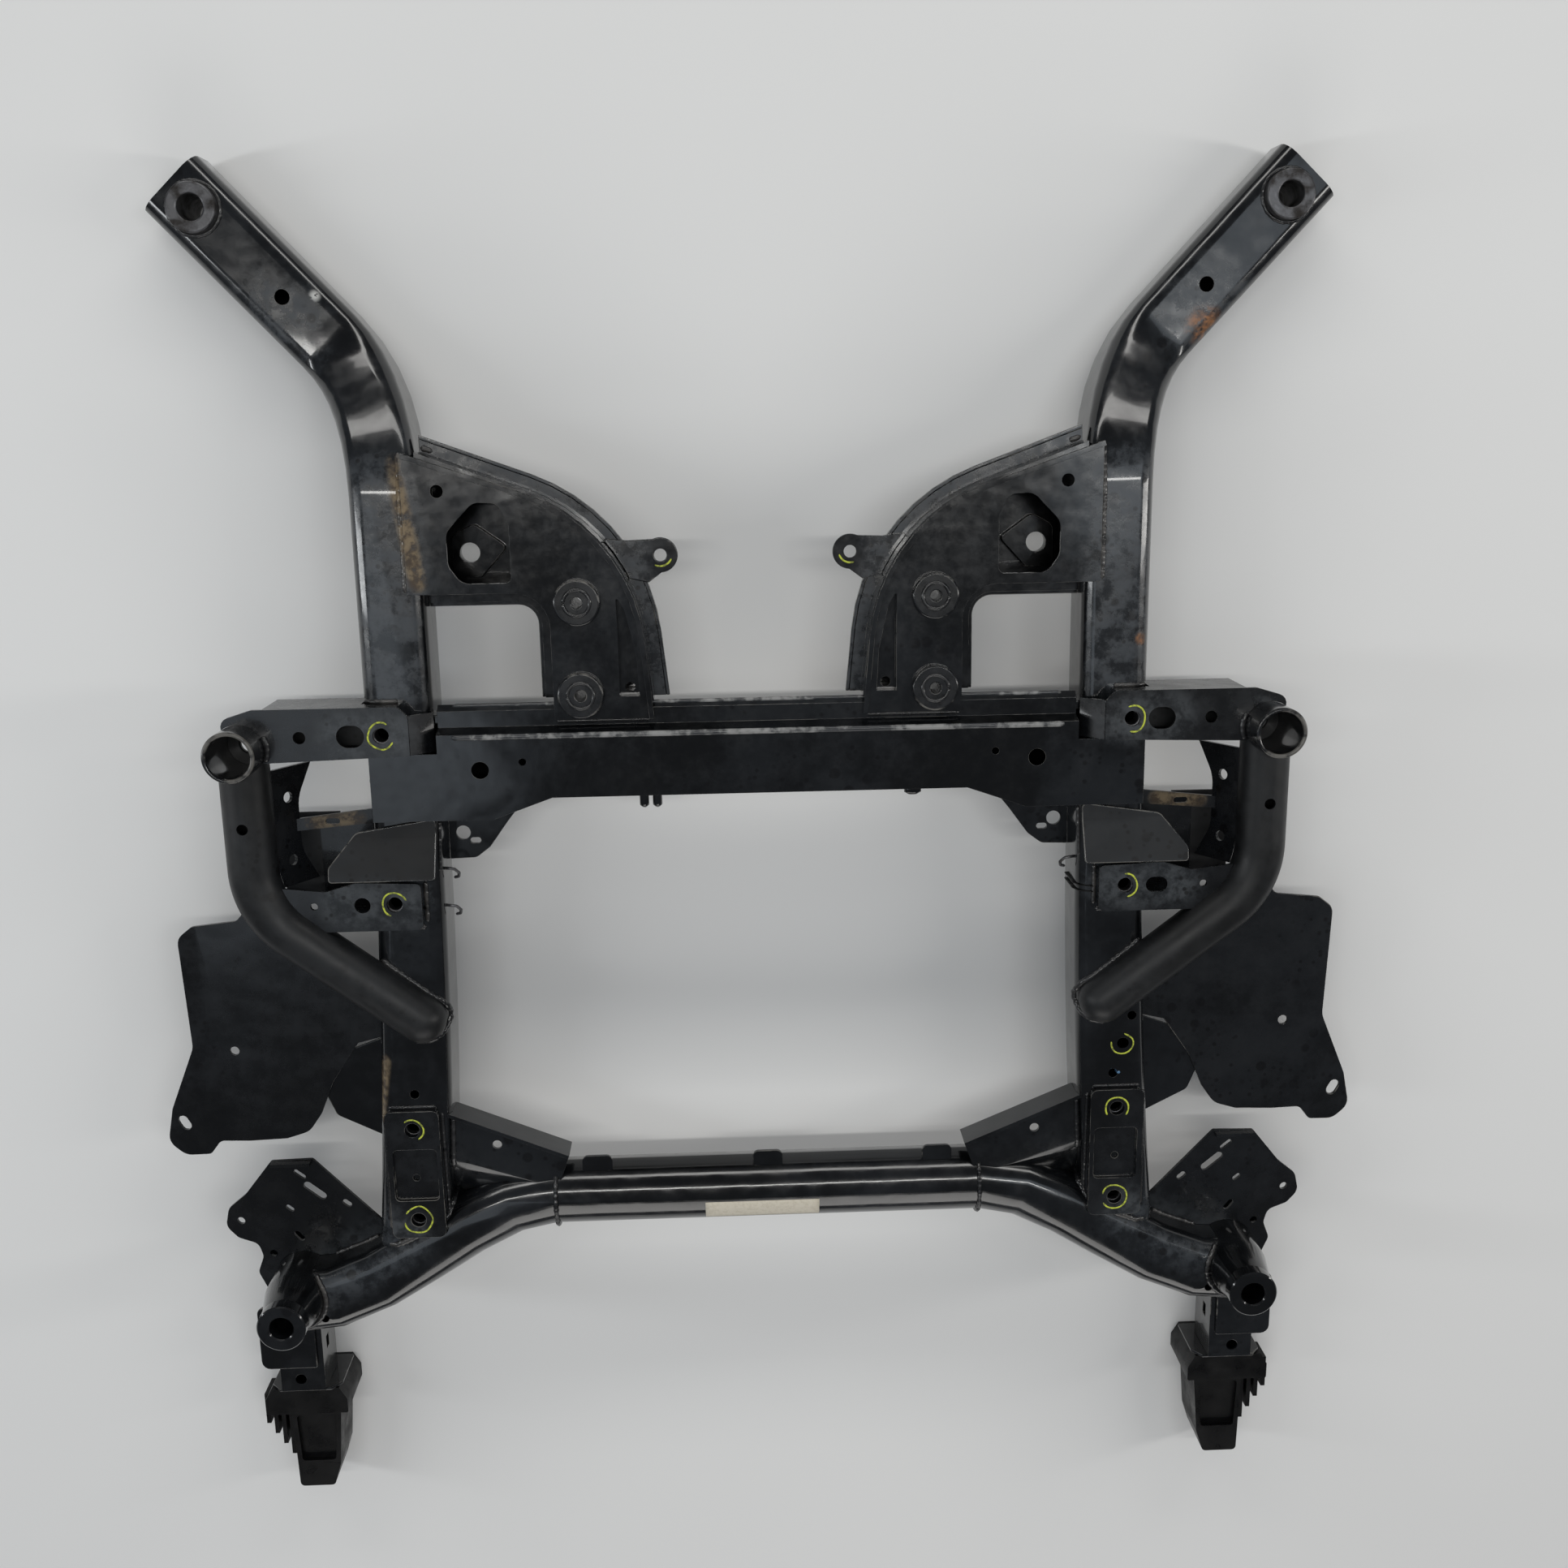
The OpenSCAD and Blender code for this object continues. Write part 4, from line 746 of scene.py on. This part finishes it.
studs = Sketch()
for x in (-97, -86):
    studs.sweep([metres(x, 89, 74), metres(x, 66, 71)], 4, 4, 0, 12, 2.0)
studs.sweep([metres(127, 89, 92), metres(127, 76, 92)], 7, 1.5, 0, 8, 2.0)
studs.piece("crossmember_studs", FINISHES["ecoat_black"], "ecoat_black")

BAND_Y = -4
band = Sketch()
middle, half = rail_at(BAND_Y)
section = [(-half - 0.8, -12), (-half - 0.8, 18), (-half + 3.2, 27.5), (-half + 13, RAIL_H / 2 + 0.8)]
for shift in (-2.4, 2.4):
    path = [metres(middle + x, BAND_Y + shift, RAIL_Z + z) for x, z in section]
    band.sweep(path, 1.6, 0.8, 0.1, 8, 1.5, normal=-FORWARD)
band.piece("tie_band", FINISHES["black_plastic"], "black_plastic")


# Blank label on the front tube

def label(left=-55, length=99, start=96, turn=44, rows=6, columns=18):
    """Thin sheet wrapped on the tube, from a place along X and an angle round the tube."""
    tube = tree_of("front_tube")
    sheet = Sketch()
    for r in range(rows + 1):
        a = math.radians(start + turn * r / rows)
        out = Vector((0, math.cos(a), math.sin(a)))
        for c in range(columns + 1):
            axis = metres(left + length * c / columns, TUBE_Y, TUBE_Z)
            hit = tube.ray_cast(axis + out * 0.05, -out)[0]
            sheet.points.append(hit + out * 0.0003)
    for r in range(rows):
        for c in range(columns):
            first = r * (columns + 1) + c
            sheet.faces.append((first, first + columns + 1, first + columns + 2, first + 1))
    made = sheet.piece("blank_label", CREAM, "ecoat_worn")
    thick = made.modifiers.new("thickness", "SOLIDIFY")
    thick.thickness = 0.0002


label()


# Floor, light and camera

PHOTO_WIDTH, FOCAL_LENGTH = 1932, 1950
SENSOR = 36


def floor():
    bpy.ops.mesh.primitive_plane_add(size=8, location=(0, 0, -0.0006))
    ground = bpy.context.object
    ground.name = "floor"
    s = Shader("floor")
    colour = s.mix(s.noise(1.5, 2), (0.74, 0.74, 0.735), (0.78, 0.78, 0.775))
    ground.data.materials.append(s.set(Base_Color=colour, Roughness=0.75))


def lamp(name, place, target, size, power, colour):
    """Soft rectangular lamp aimed at a target."""
    data = bpy.data.lights.new(name, "AREA")
    data.shape = "RECTANGLE"
    data.size, data.size_y = size
    data.energy = power
    data.color = colour
    made = bpy.data.objects.new(name, data)
    made.location = place
    made.rotation_euler = (Vector(target) - Vector(place)).to_track_quat("-Z", "Y").to_euler()
    scene.collection.objects.link(made)


def camera():
    """Camera at the photograph's place; the focal length is in the photograph's pixels."""
    data = bpy.data.cameras.new("camera")
    data.sensor_width = SENSOR
    data.sensor_fit = "HORIZONTAL"
    data.lens = SENSOR * FOCAL_LENGTH / PHOTO_WIDTH
    made = bpy.data.objects.new("camera", data)
    turn = (Matrix.Rotation(math.radians(-1.99214), 4, "Y") @ Matrix.Rotation(math.radians(-13), 4, "X")
        @ Matrix.Rotation(math.radians(-0.96393), 4, "Z"))
    made.matrix_world = Matrix.Translation((-0.024485, 0.382608, 1.370)) @ turn
    scene.collection.objects.link(made)
    scene.camera = made


floor()
camera()
lamp("strip", (0, 0.5, 2.6), (0, 0, 0), (2.4, 0.09), 18, (1, 0.99, 0.96))
lamp("rear", (0, 2.6, 1.35), (0, 0.1, 0), (4.2, 0.45), 34, (1, 0.99, 0.96))
lamp("front", (0, -2.6, 1.4), (0, -0.1, 0), (2.4, 1.2), 22, (1, 0.98, 0.95))
lamp("side_left", (-2.4, 0.1, 1.3), (0, 0, 0), (0.22, 1.8), 15, (0.95, 0.98, 1))
lamp("side_right", (2.4, 0.2, 1.3), (0, 0, 0), (0.22, 1.8), 15, (1, 0.98, 0.95))
lamp("sky_left", (-1.15, -0.3, 2.6), (-0.4, 0.1, 0), (0.9, 0.9), 2.4, (0.8, 0.9, 1))
lamp("sky_right", (1.15, 0.6, 2.6), (0.37, 0.45, 0), (0.9, 0.9), 2.8, (0.8, 0.9, 1))

world = bpy.data.worlds.new("studio")
scene.world = world
world.use_nodes = True
backdrop = world.node_tree.nodes["Background"]
backdrop.inputs["Color"].default_value = (0.80, 0.86, 0.95, 1)
backdrop.inputs["Strength"].default_value = 0.13
scene.view_settings.view_transform = "Standard"
